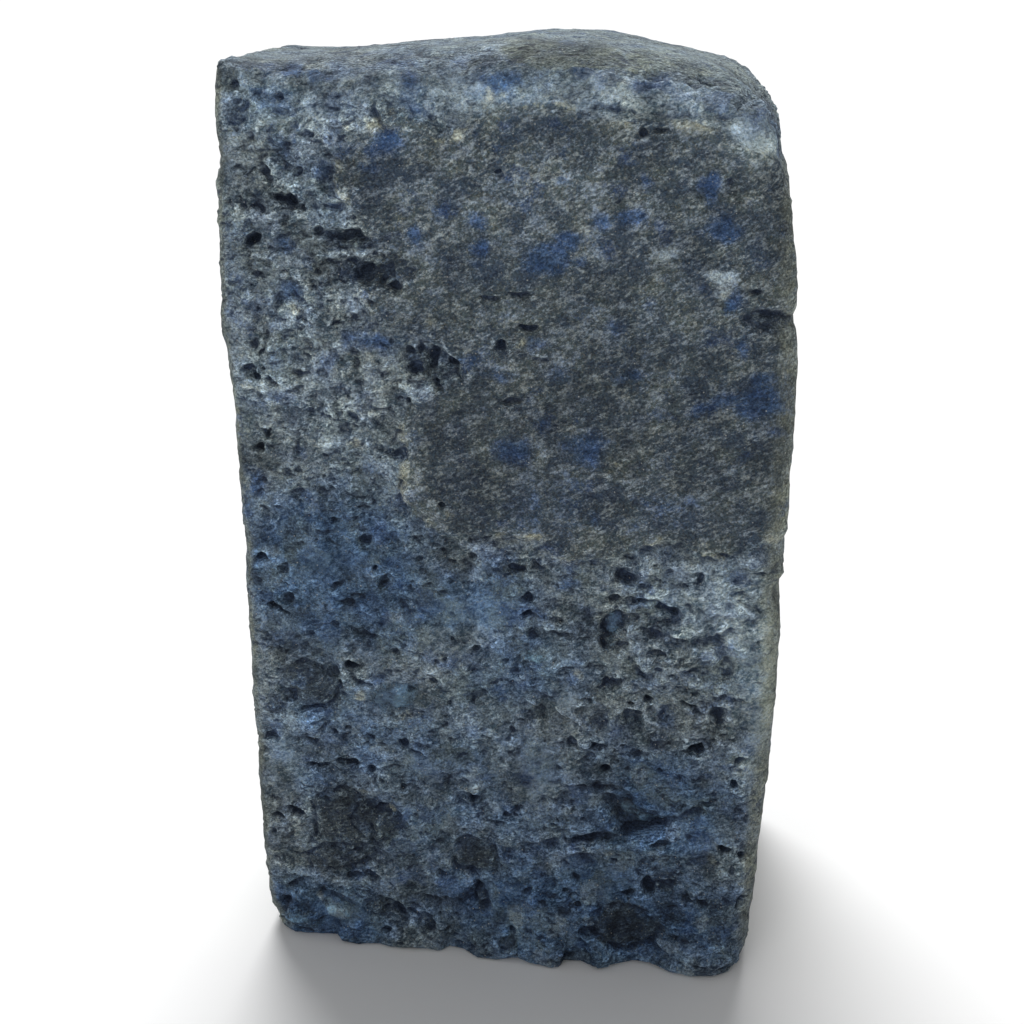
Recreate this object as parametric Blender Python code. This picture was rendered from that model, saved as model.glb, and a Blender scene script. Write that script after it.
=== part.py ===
"""Agate geode: one upright block of rough, pitted rind that stands on a sawn flat base.

Units are metres.  +Z is up, the rough front faces -Y, and the origin is the centre of the base.
"""

import math

import bmesh
import bpy
from mathutils import Vector, noise

NODE_NAME = "agate_geode"

# Overall size of the block
HEIGHT = 0.1535
WIDTH = 0.0885
DEPTH = 0.0600
HALF_WIDTH = WIDTH / 2
HALF_DEPTH = DEPTH / 2

# How far each edge is worn round, measured in from the face it belongs to
LEFT_ROUND = 0.0025
RIGHT_ROUND = 0.0050
FRONT_ROUND = 0.0040
BACK_ROUND = 0.0060
TOP_ROUND = 0.0065

# Grid the surface is modelled on, with the cuts drawn closer together towards the edges
CUTS_ACROSS = 23
CUTS_DEEP = 15
CUTS_UP = 35
EDGE_CROWDING = 0.45

# The sides drift in and out on the way up: (height, outward shift) of the left and right side
LEFT_SIDE = ((0.000, -0.0022), (0.006, -0.0012), (0.070, -0.0008), (0.100, 0.0000),
             (0.118, 0.0008), (0.136, -0.0002), (0.152, -0.0004))
RIGHT_SIDE = ((0.000, -0.0030), (0.010, -0.0016), (0.030, -0.0004), (0.050, 0.0006),
              (0.066, 0.0008), (0.070, -0.0004), (0.074, 0.0008), (0.100, 0.0006),
              (0.120, -0.0006), (0.136, -0.0026), (0.152, -0.0060))

# The crown of the top: (place across, shift of the top)
CROWN = ((-0.0440, -0.0024), (-0.030, -0.0026), (-0.010, -0.0014), (0.005, -0.0002),
         (0.015, 0.0002), (0.024, -0.0018), (0.034, -0.0050), (0.0440, -0.0100))
CROWN_FALL_BACK = 0.0030

# Knobs of rind along the foot of the front: (place across, half width, how far they stand out)
FOOT_KNOBS = ((-0.034, 0.0060, 0.0012), (-0.022, 0.0050, 0.0022), (-0.012, 0.0040, 0.0016),
              (-0.002, 0.0040, 0.0026), (0.0075, 0.0040, 0.0036), (0.0170, 0.0035, 0.0024),
              (0.0310, 0.0070, 0.0026))
FOOT_KNOB_HEIGHT = 0.0090

# The raised crust on the upper right of the front: ovals of (x, z, half width, half height)
CRUST_OVALS = ((0.0130, 0.1150, 0.0290, 0.0290), (0.0170, 0.0880, 0.0290, 0.0200),
               (-0.0080, 0.1180, 0.0150, 0.0170))
CRUST_RISE = 0.0018
CRUST_EDGE = 0.16

# Hollows and humps of the front: (x, z, half width, half height, outward shift)
FRONT_FORMS = ((0.0190, 0.0270, 0.0100, 0.0065, -0.0034), (0.0060, 0.0250, 0.0120, 0.0050, -0.0014),
               (-0.0165, 0.1130, 0.0070, 0.0045, -0.0026), (0.0010, 0.1030, 0.0050, 0.0045, -0.0026),
               (-0.0340, 0.1270, 0.0050, 0.0040, -0.0022), (0.0300, 0.0620, 0.0120, 0.0090, 0.0020),
               (0.0140, 0.0560, 0.0080, 0.0070, 0.0016), (0.0330, 0.1500, 0.0200, 0.0060, 0.0012),
               (-0.0330, 0.0060, 0.0080, 0.0060, 0.0018), (0.0220, 0.0480, 0.0090, 0.0050, -0.0014),
               (-0.0250, 0.0930, 0.0120, 0.0080, 0.0010), (-0.0300, 0.0300, 0.0120, 0.0120, 0.0008))

# Roughness of the whole rind: coarse swells and finer lumps
SWELL_SIZE = 0.0240
SWELL_RISE = 0.0011
LUMP_SIZE = 0.0075
LUMP_RISE = 0.0006
# Lumps fade out over this height, so that the rim of the base stays level
BASE_CALM = 0.0040

RIND_COLOUR = (0.085, 0.125, 0.190, 1.0)
RIND_ROUGHNESS = 0.85


def clear_scene():
    """Remove every object that the file opened with."""
    for old in list(bpy.data.objects):
        bpy.data.objects.remove(old, do_unlink=True)


def between(table, place):
    """Read a (place, value) table at a place, easing smoothly from each entry to the next."""
    if place <= table[0][0]:
        return table[0][1]
    for (start, low), (end, high) in zip(table, table[1:]):
        if place <= end:
            share = (place - start) / (end - start)
            return low + (high - low) * share * share * (3 - 2 * share)
    return table[-1][1]


def crowd(share):
    """Move a grid line at -1..1 towards the nearer edge."""
    return share + (math.sin(share * math.pi / 2) - share) * EDGE_CROWDING


def hill(distance):
    """A rounded hill, 1 high in the middle and 0 from distance 1 outwards."""
    if distance >= 1:
        return 0.0
    return (1 - distance * distance) ** 2


def crust_rise(x, z):
    """Height of the raised crust, which ends in a short ledge."""
    inside = max(1 - math.hypot((x - cx) / half_w, (z - cz) / half_h)
                 for cx, cz, half_w, half_h in CRUST_OVALS)
    share = min(max(inside / CRUST_EDGE, 0.0), 1.0)
    return CRUST_RISE * share * share * (3 - 2 * share)


def front_shift(x, z):
    """How far the front stands out at a place: crust, humps, hollows and the knobs at the foot."""
    shift = crust_rise(x, z)
    for cx, cz, half_w, half_h, rise in FRONT_FORMS:
        shift += rise * hill(math.hypot((x - cx) / half_w, (z - cz) / half_h))
    foot = hill(min(z / FOOT_KNOB_HEIGHT, 1.0))
    for cx, half_w, rise in FOOT_KNOBS:
        shift += rise * foot * hill(abs(x - cx) / half_w)
    return shift


def worn_block(corner):
    """Take a point of the plain box (-1..1 across and deep, 0..1 up) to the worn block."""
    x = crowd(corner.x) * HALF_WIDTH
    y = crowd(corner.y) * HALF_DEPTH
    z = (crowd(corner.z * 2 - 1) + 1) / 2 * HEIGHT

    side_round = LEFT_ROUND if x < 0 else RIGHT_ROUND
    face_round = FRONT_ROUND if y < 0 else BACK_ROUND
    core_x = max(min(x, HALF_WIDTH - side_round), side_round - HALF_WIDTH)
    core_y = max(min(y, HALF_DEPTH - face_round), face_round - HALF_DEPTH)
    core_z = min(z, HEIGHT - TOP_ROUND)
    outward = Vector(((x - core_x) / side_round, (y - core_y) / face_round, (z - core_z) / TOP_ROUND))
    if outward.length > 0:
        outward.normalize()
        x = core_x + outward.x * side_round
        y = core_y + outward.y * face_round
        z = core_z + outward.z * TOP_ROUND

    side_table = LEFT_SIDE if x < 0 else RIGHT_SIDE
    x += between(side_table, z) * x / HALF_WIDTH
    share_up = z / HEIGHT
    top_shift = between(CROWN, x) - CROWN_FALL_BACK * max(y / HALF_DEPTH, 0.0) ** 2
    z += top_shift * share_up ** 4
    if y < 0:
        y -= front_shift(x, z) * (abs(y) / HALF_DEPTH) ** 4
    return Vector((x, y, z))


def rind_lump(point):
    """Outward shift of the rough rind at a point."""
    swell = noise.noise(point / SWELL_SIZE) * SWELL_RISE
    lump = noise.noise(point / LUMP_SIZE) * LUMP_RISE
    return swell + lump


def centre_on_origin(shape):
    """Slide the block so that the middle of its outline, seen from above, is the origin."""
    across = [vert.co.x for vert in shape.verts]
    deep = [vert.co.y for vert in shape.verts]
    middle = Vector(((min(across) + max(across)) / 2, (min(deep) + max(deep)) / 2, 0.0))
    bmesh.ops.translate(shape, verts=shape.verts, vec=-middle)


def build_rind():
    """Cut a box into a grid, wear it to the block's shape and roughen it."""
    shape = bmesh.new()
    bmesh.ops.create_cube(shape, size=2.0)
    bmesh.ops.translate(shape, verts=shape.verts, vec=(0, 0, 1))
    bmesh.ops.scale(shape, verts=shape.verts, vec=(1, 1, 0.5))
    for axis, cuts in ((0, CUTS_ACROSS), (1, CUTS_DEEP), (2, CUTS_UP)):
        along = [edge for edge in shape.edges
                 if abs((edge.verts[0].co - edge.verts[1].co).normalized()[axis]) > 0.9]
        bmesh.ops.subdivide_edges(shape, edges=along, cuts=cuts, use_grid_fill=True)

    base_verts = {vert for vert in shape.verts if vert.co.z == 0}
    for vert in shape.verts:
        vert.co = worn_block(vert.co)
    shape.normal_update()
    shifts = {}
    for vert in shape.verts:
        calm = min(vert.co.z / BASE_CALM, 1.0)
        shifts[vert] = vert.normal * rind_lump(vert.co) * calm
    for vert, shift in shifts.items():
        vert.co += shift

    sawn_base = [face for face in shape.faces if base_verts.issuperset(face.verts)]
    bmesh.ops.dissolve_faces(shape, faces=sawn_base, use_verts=True)
    bmesh.ops.triangulate(shape, faces=[face for face in shape.faces if len(face.verts) == 4])
    bmesh.ops.recalc_face_normals(shape, faces=shape.faces)
    centre_on_origin(shape)

    mesh = bpy.data.meshes.new(NODE_NAME)
    shape.to_mesh(mesh)
    shape.free()
    mesh.shade_smooth()
    block = bpy.data.objects.new(NODE_NAME, mesh)
    bpy.context.scene.collection.objects.link(block)
    return block


def rind_material():
    """Dull blue-grey stone."""
    stone = bpy.data.materials.new("dyed_rind")
    stone.use_nodes = True
    shader = stone.node_tree.nodes["Principled BSDF"]
    shader.inputs["Base Color"].default_value = RIND_COLOUR
    shader.inputs["Roughness"].default_value = RIND_ROUGHNESS
    shader.inputs["Metallic"].default_value = 0.0
    return stone


clear_scene()
geode = build_rind()
geode.data.materials.append(rind_material())
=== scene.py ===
"""Agate geode block: the looks around the packed frame.

The rind is modelled as one dense block: a plain box is cut into a fine grid, worn to shape, given the
crust, lumps, pits and cracks of the lists below, roughened, and thinned where it is plain.
Places in the lists are in millimetres, seen from the front: x to the right, z up from the base.
"""

import math

import bpy
import numpy as np
from bpy.props import FloatProperty, FloatVectorProperty, IntProperty, PointerProperty
from mathutils import Euler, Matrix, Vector


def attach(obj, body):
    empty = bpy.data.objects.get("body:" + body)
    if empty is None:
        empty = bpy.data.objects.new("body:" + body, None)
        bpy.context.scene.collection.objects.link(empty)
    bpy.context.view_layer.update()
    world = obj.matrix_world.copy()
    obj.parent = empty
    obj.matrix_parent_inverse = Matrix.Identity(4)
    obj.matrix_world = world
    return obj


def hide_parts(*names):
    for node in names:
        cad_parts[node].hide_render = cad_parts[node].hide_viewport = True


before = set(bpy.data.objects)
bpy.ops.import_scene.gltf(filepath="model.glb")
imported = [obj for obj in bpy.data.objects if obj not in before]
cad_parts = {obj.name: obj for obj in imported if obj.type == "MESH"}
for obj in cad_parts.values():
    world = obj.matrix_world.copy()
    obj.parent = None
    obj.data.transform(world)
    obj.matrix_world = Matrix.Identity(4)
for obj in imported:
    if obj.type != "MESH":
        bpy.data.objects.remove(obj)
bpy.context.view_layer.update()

bl_info = {
    "name": "Agate Geode Block",
    "version": (1, 0, 0),
    "blender": (4, 5, 0),
    "location": "View3D > Sidebar > Geode",
    "description": "Models a block of dyed agate rind and a studio to see it in",
    "category": "Object",
}

NODE = "agate_geode"
MM = 0.001

# Where the lists below were laid out from, and how far forward the plane is that they are laid on, in mm
SEEN_FROM = (37.35, -257.92, 164.0)
FRONT = -29.5

# Seeds of the random fields
WANDER_ACROSS_SEED = 11
WANDER_UP_SEED = 21
CREASE_SEED = 31
PIT_SEED = 41
CRUST_SEED = 51
BLUE_SEED = 61
COARSE_SEED = 71
# Cells after which a random field repeats
FIELD_REPEAT = 32

# Widths and depths in mm, unless said otherwise, of what the lists don't give
WANDER_SIZE = 4.0
WANDER_ACROSS = 1.1
WANDER_UP = 0.9
RIM_GROOVE_DEPTH = 0.75
RIM_GROOVE_WIDTH = 0.45
RIM_GROOVE_FROM = 0.6  # strength of the dark patches that get a groove
SPOT_FADE = 1.5  # where a spot has faded out, as a share of its size
SIDES_FROM = 39  # how far across the worn sides begin
BASE_CALM = 1.5
RIM_CALM = 4.0
CREST_CALM = 6.0
CALMEST = 0.35  # share of the roughness that is left at the rims
LEVEL = 1e-6  # heights closer than this are level
SLANT = 0.45  # radians that the streaks lean by

# The studio, in metres
PAPER_SIZE = 40
SOFTBOX_PLACE = (-0.40, -0.98, 0.38)
SOFTBOX_AIM = (0.0, 0.0, 0.09)
SOFTBOX_SIZE = 0.45
OVERHEAD_PLACE = (-0.14, 0.60, 0.79)
SENSOR_WIDTH_MM = 36.0
NEAREST_SEEN = 0.01

# Where each side stands at a height: (z, x)
LEFT_SIDE = (
    (0, -42.3), (4, -43.4), (9.5, -43.4), (26, -43.8), (64, -44.1), (73, -43.6), (79, -44.1), (104, -44.6),
    (107, -44.8), (109, -45.5), (123, -45.3), (129.5, -44.9), (137.5, -44.3), (142.5, -44.5), (147.5, -44),
    (154, -43.3),
)
RIGHT_SIDE = (
    (0, 39.9), (5, 41.3), (20, 42.2), (24, 42.2), (30, 42.8), (45, 43.5), (63, 43.7), (67, 43.4),
    (69, 42.2), (71, 42.4), (73, 43.7), (82, 43.4), (91, 43.2), (94, 43.5), (106, 43.3), (118, 42.6),
    (127, 42.1), (135, 41.2), (137, 40.1), (142, 39.2), (154, 37.4),
)
# Height of the crown at a place across: (x, z)
CROWN = (
    (-44, 150.3), (-38, 149.8), (-30, 150.2), (-20, 151.2), (-8, 151.9), (2, 153), (10, 152.8), (16, 152),
    (24, 150.4), (33, 148), (40, 145), (44, 142.5),
)
# How far the foot stands forward of the front at a place across: (x, forward)
FOOT_LINE = (
    (-42, -2.5), (-38, 0), (-30, -0.5), (-29, 1.4), (-26, 1.9), (-22.5, 1.2), (-20, 1.9), (-14.5, 1.3),
    (-11.5, 1.7), (-10, 0), (-7.5, 0.5), (-4.5, 2.6), (-1.5, 2.7), (2.5, 1.2), (4.5, 2.6), (8.5, 3.5),
    (9.8, 2.9), (10.2, 0.9), (13, 0.5), (16.5, 2.2), (19, 0.6), (22.5, -1.1), (25, -0.9), (28.5, 1.4),
    (32, 2), (38, 0.9), (40, -1.5), (42, -4),
)
# How far back the rounding of the top reaches at a place across, and how far it drops in front
TOP_FRONT_DEEP = (
    (-44, 5), (-32, 11), (-20, 15),
)
TOP_FRONT_DROP = (
    (-44, 2.2), (-32, 5), (-20, 7),
)

# Pits: (x, z, half width, half height, turn in degrees, depth)
PITS = (
    (-33.5, 145.5, 1.1, 0.7, 0, 1.2), (-24.5, 144, 1.4, 0.6, 0, 1.2), (-29, 140, 2, 0.9, 20, 1.1),
    (-40, 142.5, 1.7, 1.6, 0, 0.9), (-39.5, 140, 0.9, 0.7, 0, 0.7), (-40, 146, 0.9, 0.6, 0, 0.7),
    (-34, 130, 2.5, 1, -4, 2.4), (-30.5, 129, 0.8, 0.6, 0, 1.2), (-39, 124, 1.4, 1.7, -40, 1.8),
    (-28.5, 125.5, 1.1, 0.9, 0, 1.4), (-25.2, 125.3, 3.2, 0.9, 6, 1.5), (-21, 124.6, 2.4, 0.7, -8, 1.2),
    (-20, 119, 4.3, 1.8, 12, 1.8), (-16.5, 118, 1.2, 0.9, 0, 1.2), (-28, 119.5, 0.8, 0.5, 0, 0.8),
    (-24.5, 114, 0.9, 0.6, 0, 0.7), (-36, 133.5, 0.8, 1.5, 30, 0.8), (-36.5, 136.5, 0.9, 0.4, 0, 0.7),
    (-31, 134, 0.8, 0.6, 0, 0.7), (-40, 135, 0.9, 0.6, 0, 0.6), (-42, 129.5, 0.9, 0.4, 0, 0.6),
    (-26, 133.5, 0.9, 0.6, 0, 0.6), (-37, 128, 1.3, 0.4, -20, 0.7), (-26.5, 129, 0.6, 0.4, 0, 0.6),
    (29, 148, 1.3, 0.5, -40, 0.9), (21.5, 147.5, 0.4, 0.4, 0, 0.6), (21, 140.5, 0.9, 0.6, 0, 1),
    (23, 141, 0.9, 0.4, 10, 0.8), (7.5, 143, 0.6, 0.4, 0, 0.6), (-1, 135, 0.7, 0.4, 0, 0.8),
    (33.5, 133.5, 0.7, 0.8, 0, 0.7), (37.5, 118, 0.9, 0.6, 0, 1.2), (33.5, 150, 0.8, 0.4, -20, 0.6),
    (17, 131, 0.9, 0.4, 20, 0.6), (20, 129, 1.2, 0.4, 25, 0.5), (3, 116.5, 2.1, 0.5, 0, 0.9),
    (-39.5, 108, 1.3, 1, 0, 1.2), (-38.5, 106.5, 0.8, 0.6, 0, 1.2), (-41, 103.5, 1, 0.6, 0, 1.3),
    (-38, 104, 0.8, 0.8, 0, 1.1), (-39.5, 102.5, 1.9, 0.5, -15, 1.2), (-37, 102, 1.1, 0.8, 0, 1.3),
    (-32.5, 103.5, 1.6, 0.8, -15, 1.1), (-31, 97.5, 1, 0.7, 0, 1), (-24.5, 96, 1.3, 0.7, -30, 0.9),
    (-15.5, 100, 0.6, 0.5, -40, 0.8), (-15.5, 107.5, 1.1, 0.8, 0, 1.2), (-13.5, 105, 2, 1.3, 10, 1.5),
    (-11, 106.5, 1.4, 1.1, -10, 1.6), (-8, 105.5, 1.1, 0.8, 0, 1.4), (-10.5, 103, 0.8, 1.1, 0, 1.3),
    (-38.5, 92.5, 0.8, 0.8, 0, 1.6), (-40, 90.5, 1.3, 1, -10, 1.6), (-34.5, 110, 1, 0.6, 0, 0.6),
    (-27, 107, 1, 0.6, 0, 0.6), (-19, 108, 1.1, 0.6, 0, 0.7), (-25.5, 111.5, 0.9, 0.5, 0, 0.6),
    (-20, 115, 1.2, 0.6, -10, 0.7), (-31.5, 114.5, 0.8, 0.5, 0, 0.6), (0, 109.5, 1.1, 1.7, 10, 1.8),
    (-5, 111, 0.8, 0.6, 0, 0.8), (4, 112.5, 2.1, 0.5, -3, 1.3), (0.5, 100, 2.3, 0.5, 0, 0.9),
    (-1.5, 115.5, 1.4, 0.5, 0, 0.8), (5.5, 106.5, 1.2, 0.6, 0, 0.6), (-23.5, 76.5, 1.5, 0.9, -5, 1.5),
    (-40, 71.5, 1.5, 0.7, 12, 2), (-36, 70.5, 1.2, 1.1, 0, 1.2), (-21, 71.5, 0.7, 0.9, 0, 1.3),
    (-19.5, 69.5, 1.3, 1.6, 0, 1.1), (-27.5, 69, 1.2, 0.7, -15, 1), (-36, 65.5, 1.5, 0.9, 0, 1.1),
    (-26, 64.5, 2.7, 0.9, -8, 0.9), (-9, 83.5, 1, 0.8, 0, 1.7), (-16.5, 85.5, 0.8, 1.2, 0, 0.8),
    (-5.5, 74, 0.8, 0.5, 0, 0.8), (-33, 87.5, 0.8, 0.5, 0, 0.7), (-28, 84.5, 0.7, 0.5, 0, 0.7),
    (-35, 87, 0.7, 0.5, 0, 0.6), (-31, 90, 0.8, 0.5, 0, 0.6), (-38, 80.5, 1, 0.5, 0, 0.6),
    (-24, 90, 0.6, 0.5, 0, 0.5), (-17.5, 90.5, 1, 0.5, 0, 0.7), (-13.5, 73, 0.8, 0.5, 0, 0.7),
    (-10.5, 68, 0.8, 0.5, -20, 0.7), (-28.5, 79, 0.8, 0.5, 0, 0.6), (-33.5, 75.5, 1.2, 0.5, -10, 0.6),
    (-15.5, 64.5, 0.8, 0.5, 0, 0.6), (1, 72.5, 1.3, 1, 0, 1.4), (4, 72.5, 1, 0.9, 0, 1),
    (3.5, 68, 1.1, 0.9, 0, 1.5), (19.5, 72.5, 1.3, 0.8, 0, 1.3), (17, 68.5, 2.1, 0.7, -12, 1.2),
    (22, 68, 1.3, 0.5, 0, 1.1), (28, 71.5, 1.4, 0.5, -10, 0.9), (31, 73, 1.1, 0.5, 0, 0.9),
    (36.5, 71, 1.1, 0.7, 0, 0.9), (40, 74, 0.9, 0.5, 0, 0.8), (34, 76.5, 1.4, 0.7, -20, 1),
    (-38, 63.5, 2, 0.5, -25, 1.2), (-24, 60, 2.9, 0.7, -9, 1.1), (-25.5, 53.5, 1.9, 0.9, 4, 2.4),
    (-23.5, 51, 1.7, 0.7, -12, 1.5), (-27.5, 50.5, 0.9, 0.6, 0, 1.3), (-29, 60.5, 0.7, 0.5, 0, 0.8),
    (-32, 59, 0.9, 0.9, 0, 0.9), (-37.5, 56.5, 0.7, 0.5, 0, 0.8), (-5, 58.5, 1.2, 0.5, 30, 1.2),
    (-10.5, 56, 0.7, 0.5, 0, 1.1), (-7.5, 60, 0.8, 0.5, 0, 0.9), (-17.5, 57, 0.7, 0.5, 0, 0.8),
    (-4, 50, 1.2, 0.9, 0, 1.2), (-16.5, 40, 1, 0.8, -40, 1.6), (-14.5, 38, 1.4, 0.6, -42, 1.2),
    (-39, 24, 0.9, 0.6, 0, 1.1), (-36.5, 25.5, 1.4, 0.6, -10, 1.1), (-40.5, 20.5, 0.7, 0.6, 0, 0.9),
    (-18, 31.5, 0.7, 0.6, 0, 1), (-5.5, 30.5, 1, 0.6, 0, 1.5), (-26.5, 14, 1.3, 0.8, 0, 1.2),
    (-24, 14, 1.1, 1.4, 0, 1.3), (-32.5, 45.5, 2.4, 0.6, 3, 1.3), (-41, 39, 1.8, 0.6, -10, 1.1),
    (-31.5, 42, 0.9, 0.6, 0, 0.9), (-29, 41, 0.9, 0.6, 0, 0.9), (-26.5, 42.5, 0.7, 0.6, 0, 0.8),
    (-27.5, 40.5, 0.7, 0.4, 0, 0.8), (-33.5, 39.5, 1.1, 0.6, 0, 0.8), (-23, 40, 0.9, 0.6, 0, 0.7),
    (-32, 34.5, 1.8, 0.8, 5, 1.3), (-27, 35.5, 2.4, 0.6, -6, 1.5), (-23, 34.5, 0.9, 0.6, 0, 1.2),
    (-20, 8, 2.5, 1.8, -20, 1.1), (-22, 3, 0.7, 0.8, 0, 1.5), (-16.5, 7, 0.7, 0.6, 0, 1.2),
    (-37, 10.5, 0.9, 0.6, 0, 1), (-11, 16, 0.9, 0.6, 0, 0.9), (-13.5, 5, 1.6, 1.2, -20, 0.7),
    (-4, 10, 1.1, 1.6, 0, 1), (-4, 13.5, 0.9, 0.8, 0, 0.8), (-16, 50, 0.7, 0.5, 0, 0.8),
    (-12.5, 52, 1, 0.5, 0, 0.8), (-9, 48.5, 0.8, 0.5, 0, 0.8), (0, 56.5, 1, 0.5, 20, 0.8),
    (4, 56, 1.3, 0.5, 10, 0.8), (-12.5, 62.5, 0.8, 0.5, 0, 0.7), (-8, 64.5, 0.8, 0.5, 0, 0.7),
    (3.5, 65, 1, 0.7, 0, 1.7), (9.5, 62.5, 2.1, 0.7, -4, 1.1), (17.5, 63.5, 1.3, 2.9, -4, 1.5),
    (16.5, 61, 0.6, 0.9, 0, 1.2), (26, 66.5, 2, 0.7, 0, 1.4), (20.5, 68, 0.9, 0.5, 0, 1),
    (24.5, 60, 1.3, 0.7, 10, 0.9), (17, 53.5, 2.6, 0.9, 12, 1.3), (24, 51, 1.3, 0.7, 0, 1.7),
    (30, 50.5, 1.4, 0.5, -12, 1.3), (31.5, 49.5, 1.4, 0.5, -25, 1.2), (34.5, 52.5, 1.4, 0.7, 10, 1.1),
    (34.5, 49, 1, 0.9, 0, 1.4), (15.5, 46.5, 1.3, 1.5, 0, 0.9), (20.5, 47, 1.9, 1.3, 20, 1.3),
    (20.5, 49.5, 0.6, 0.5, 0, 1.4), (15, 42, 1.2, 0.7, 0, 1.7), (16.5, 38, 0.7, 0.9, -30, 1.4),
    (21, 41.5, 1.5, 1.1, 0, 0.9), (31, 43.5, 1.3, 1.1, 0, 3.2), (39, 42, 1.1, 0.9, 0, 1.3),
    (37.5, 37.5, 1.3, 0.9, -30, 1.6), (33.5, 32.5, 1.5, 0.7, 15, 1.5), (30.5, 32.5, 0.7, 0.4, 0, 1),
    (7, 31, 1.3, 1.1, 0, 0.8), (0.5, 28.5, 1.2, 0.6, -10, 0.9), (9, 27, 1.5, 0.6, 0, 1.3),
    (-1, 26.5, 1, 0.8, 0, 1), (14, 24, 2.4, 0.8, 5, 1.6), (17.5, 24.5, 0.8, 0.6, 0, 1),
    (25.5, 24.5, 1.8, 0.8, 8, 1.6), (37.5, 24, 1.8, 1.1, 10, 2), (41, 23.5, 1.3, 0.9, 20, 1.5),
    (38.5, 21, 1, 0.8, 0, 1.1), (24.5, 17, 1.2, 1.6, 10, 1.8), (27.5, 17, 1.5, 1.2, 0, 1.1),
    (21.5, 14.5, 1.2, 0.8, 20, 1.3), (10.5, 14, 1, 0.6, 0, 1.5), (12.5, 11.5, 1, 0.6, 0, 1.3),
    (6, 11, 0.9, 0.6, 0, 1), (4, 13, 0.9, 0.6, 0, 1), (12, 16.5, 1, 0.6, -30, 1),
    (1, 5.5, 0.9, 0.6, 0, 1.2), (33.5, 13.5, 1, 0.8, 0, 1.3), (19, 21, 0.7, 0.6, 0, 0.9),
    (31.5, 14.5, 0.8, 0.6, 0, 0.9), (40, 14.5, 0.8, 0.6, 0, 0.9), (14.5, 6, 1.2, 0.8, 0, 0.9),
    (6, 4, 1, 0.6, 0, 0.9), (40.5, 63, 0.8, 0.5, 0, 0.7), (11, 42, 1, 0.6, -20, 0.9),
    (9, 37, 0.8, 0.6, 0, 0.8), (12.5, 50.5, 1.1, 0.5, -10, 0.8), (9, 55, 1, 0.5, 0, 0.7),
    (25.5, 38.5, 0.8, 0.6, 0, 0.8), (29, 37, 0.7, 0.4, 0, 0.7), (35, 46, 0.8, 0.5, 0, 0.8),
)
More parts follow.
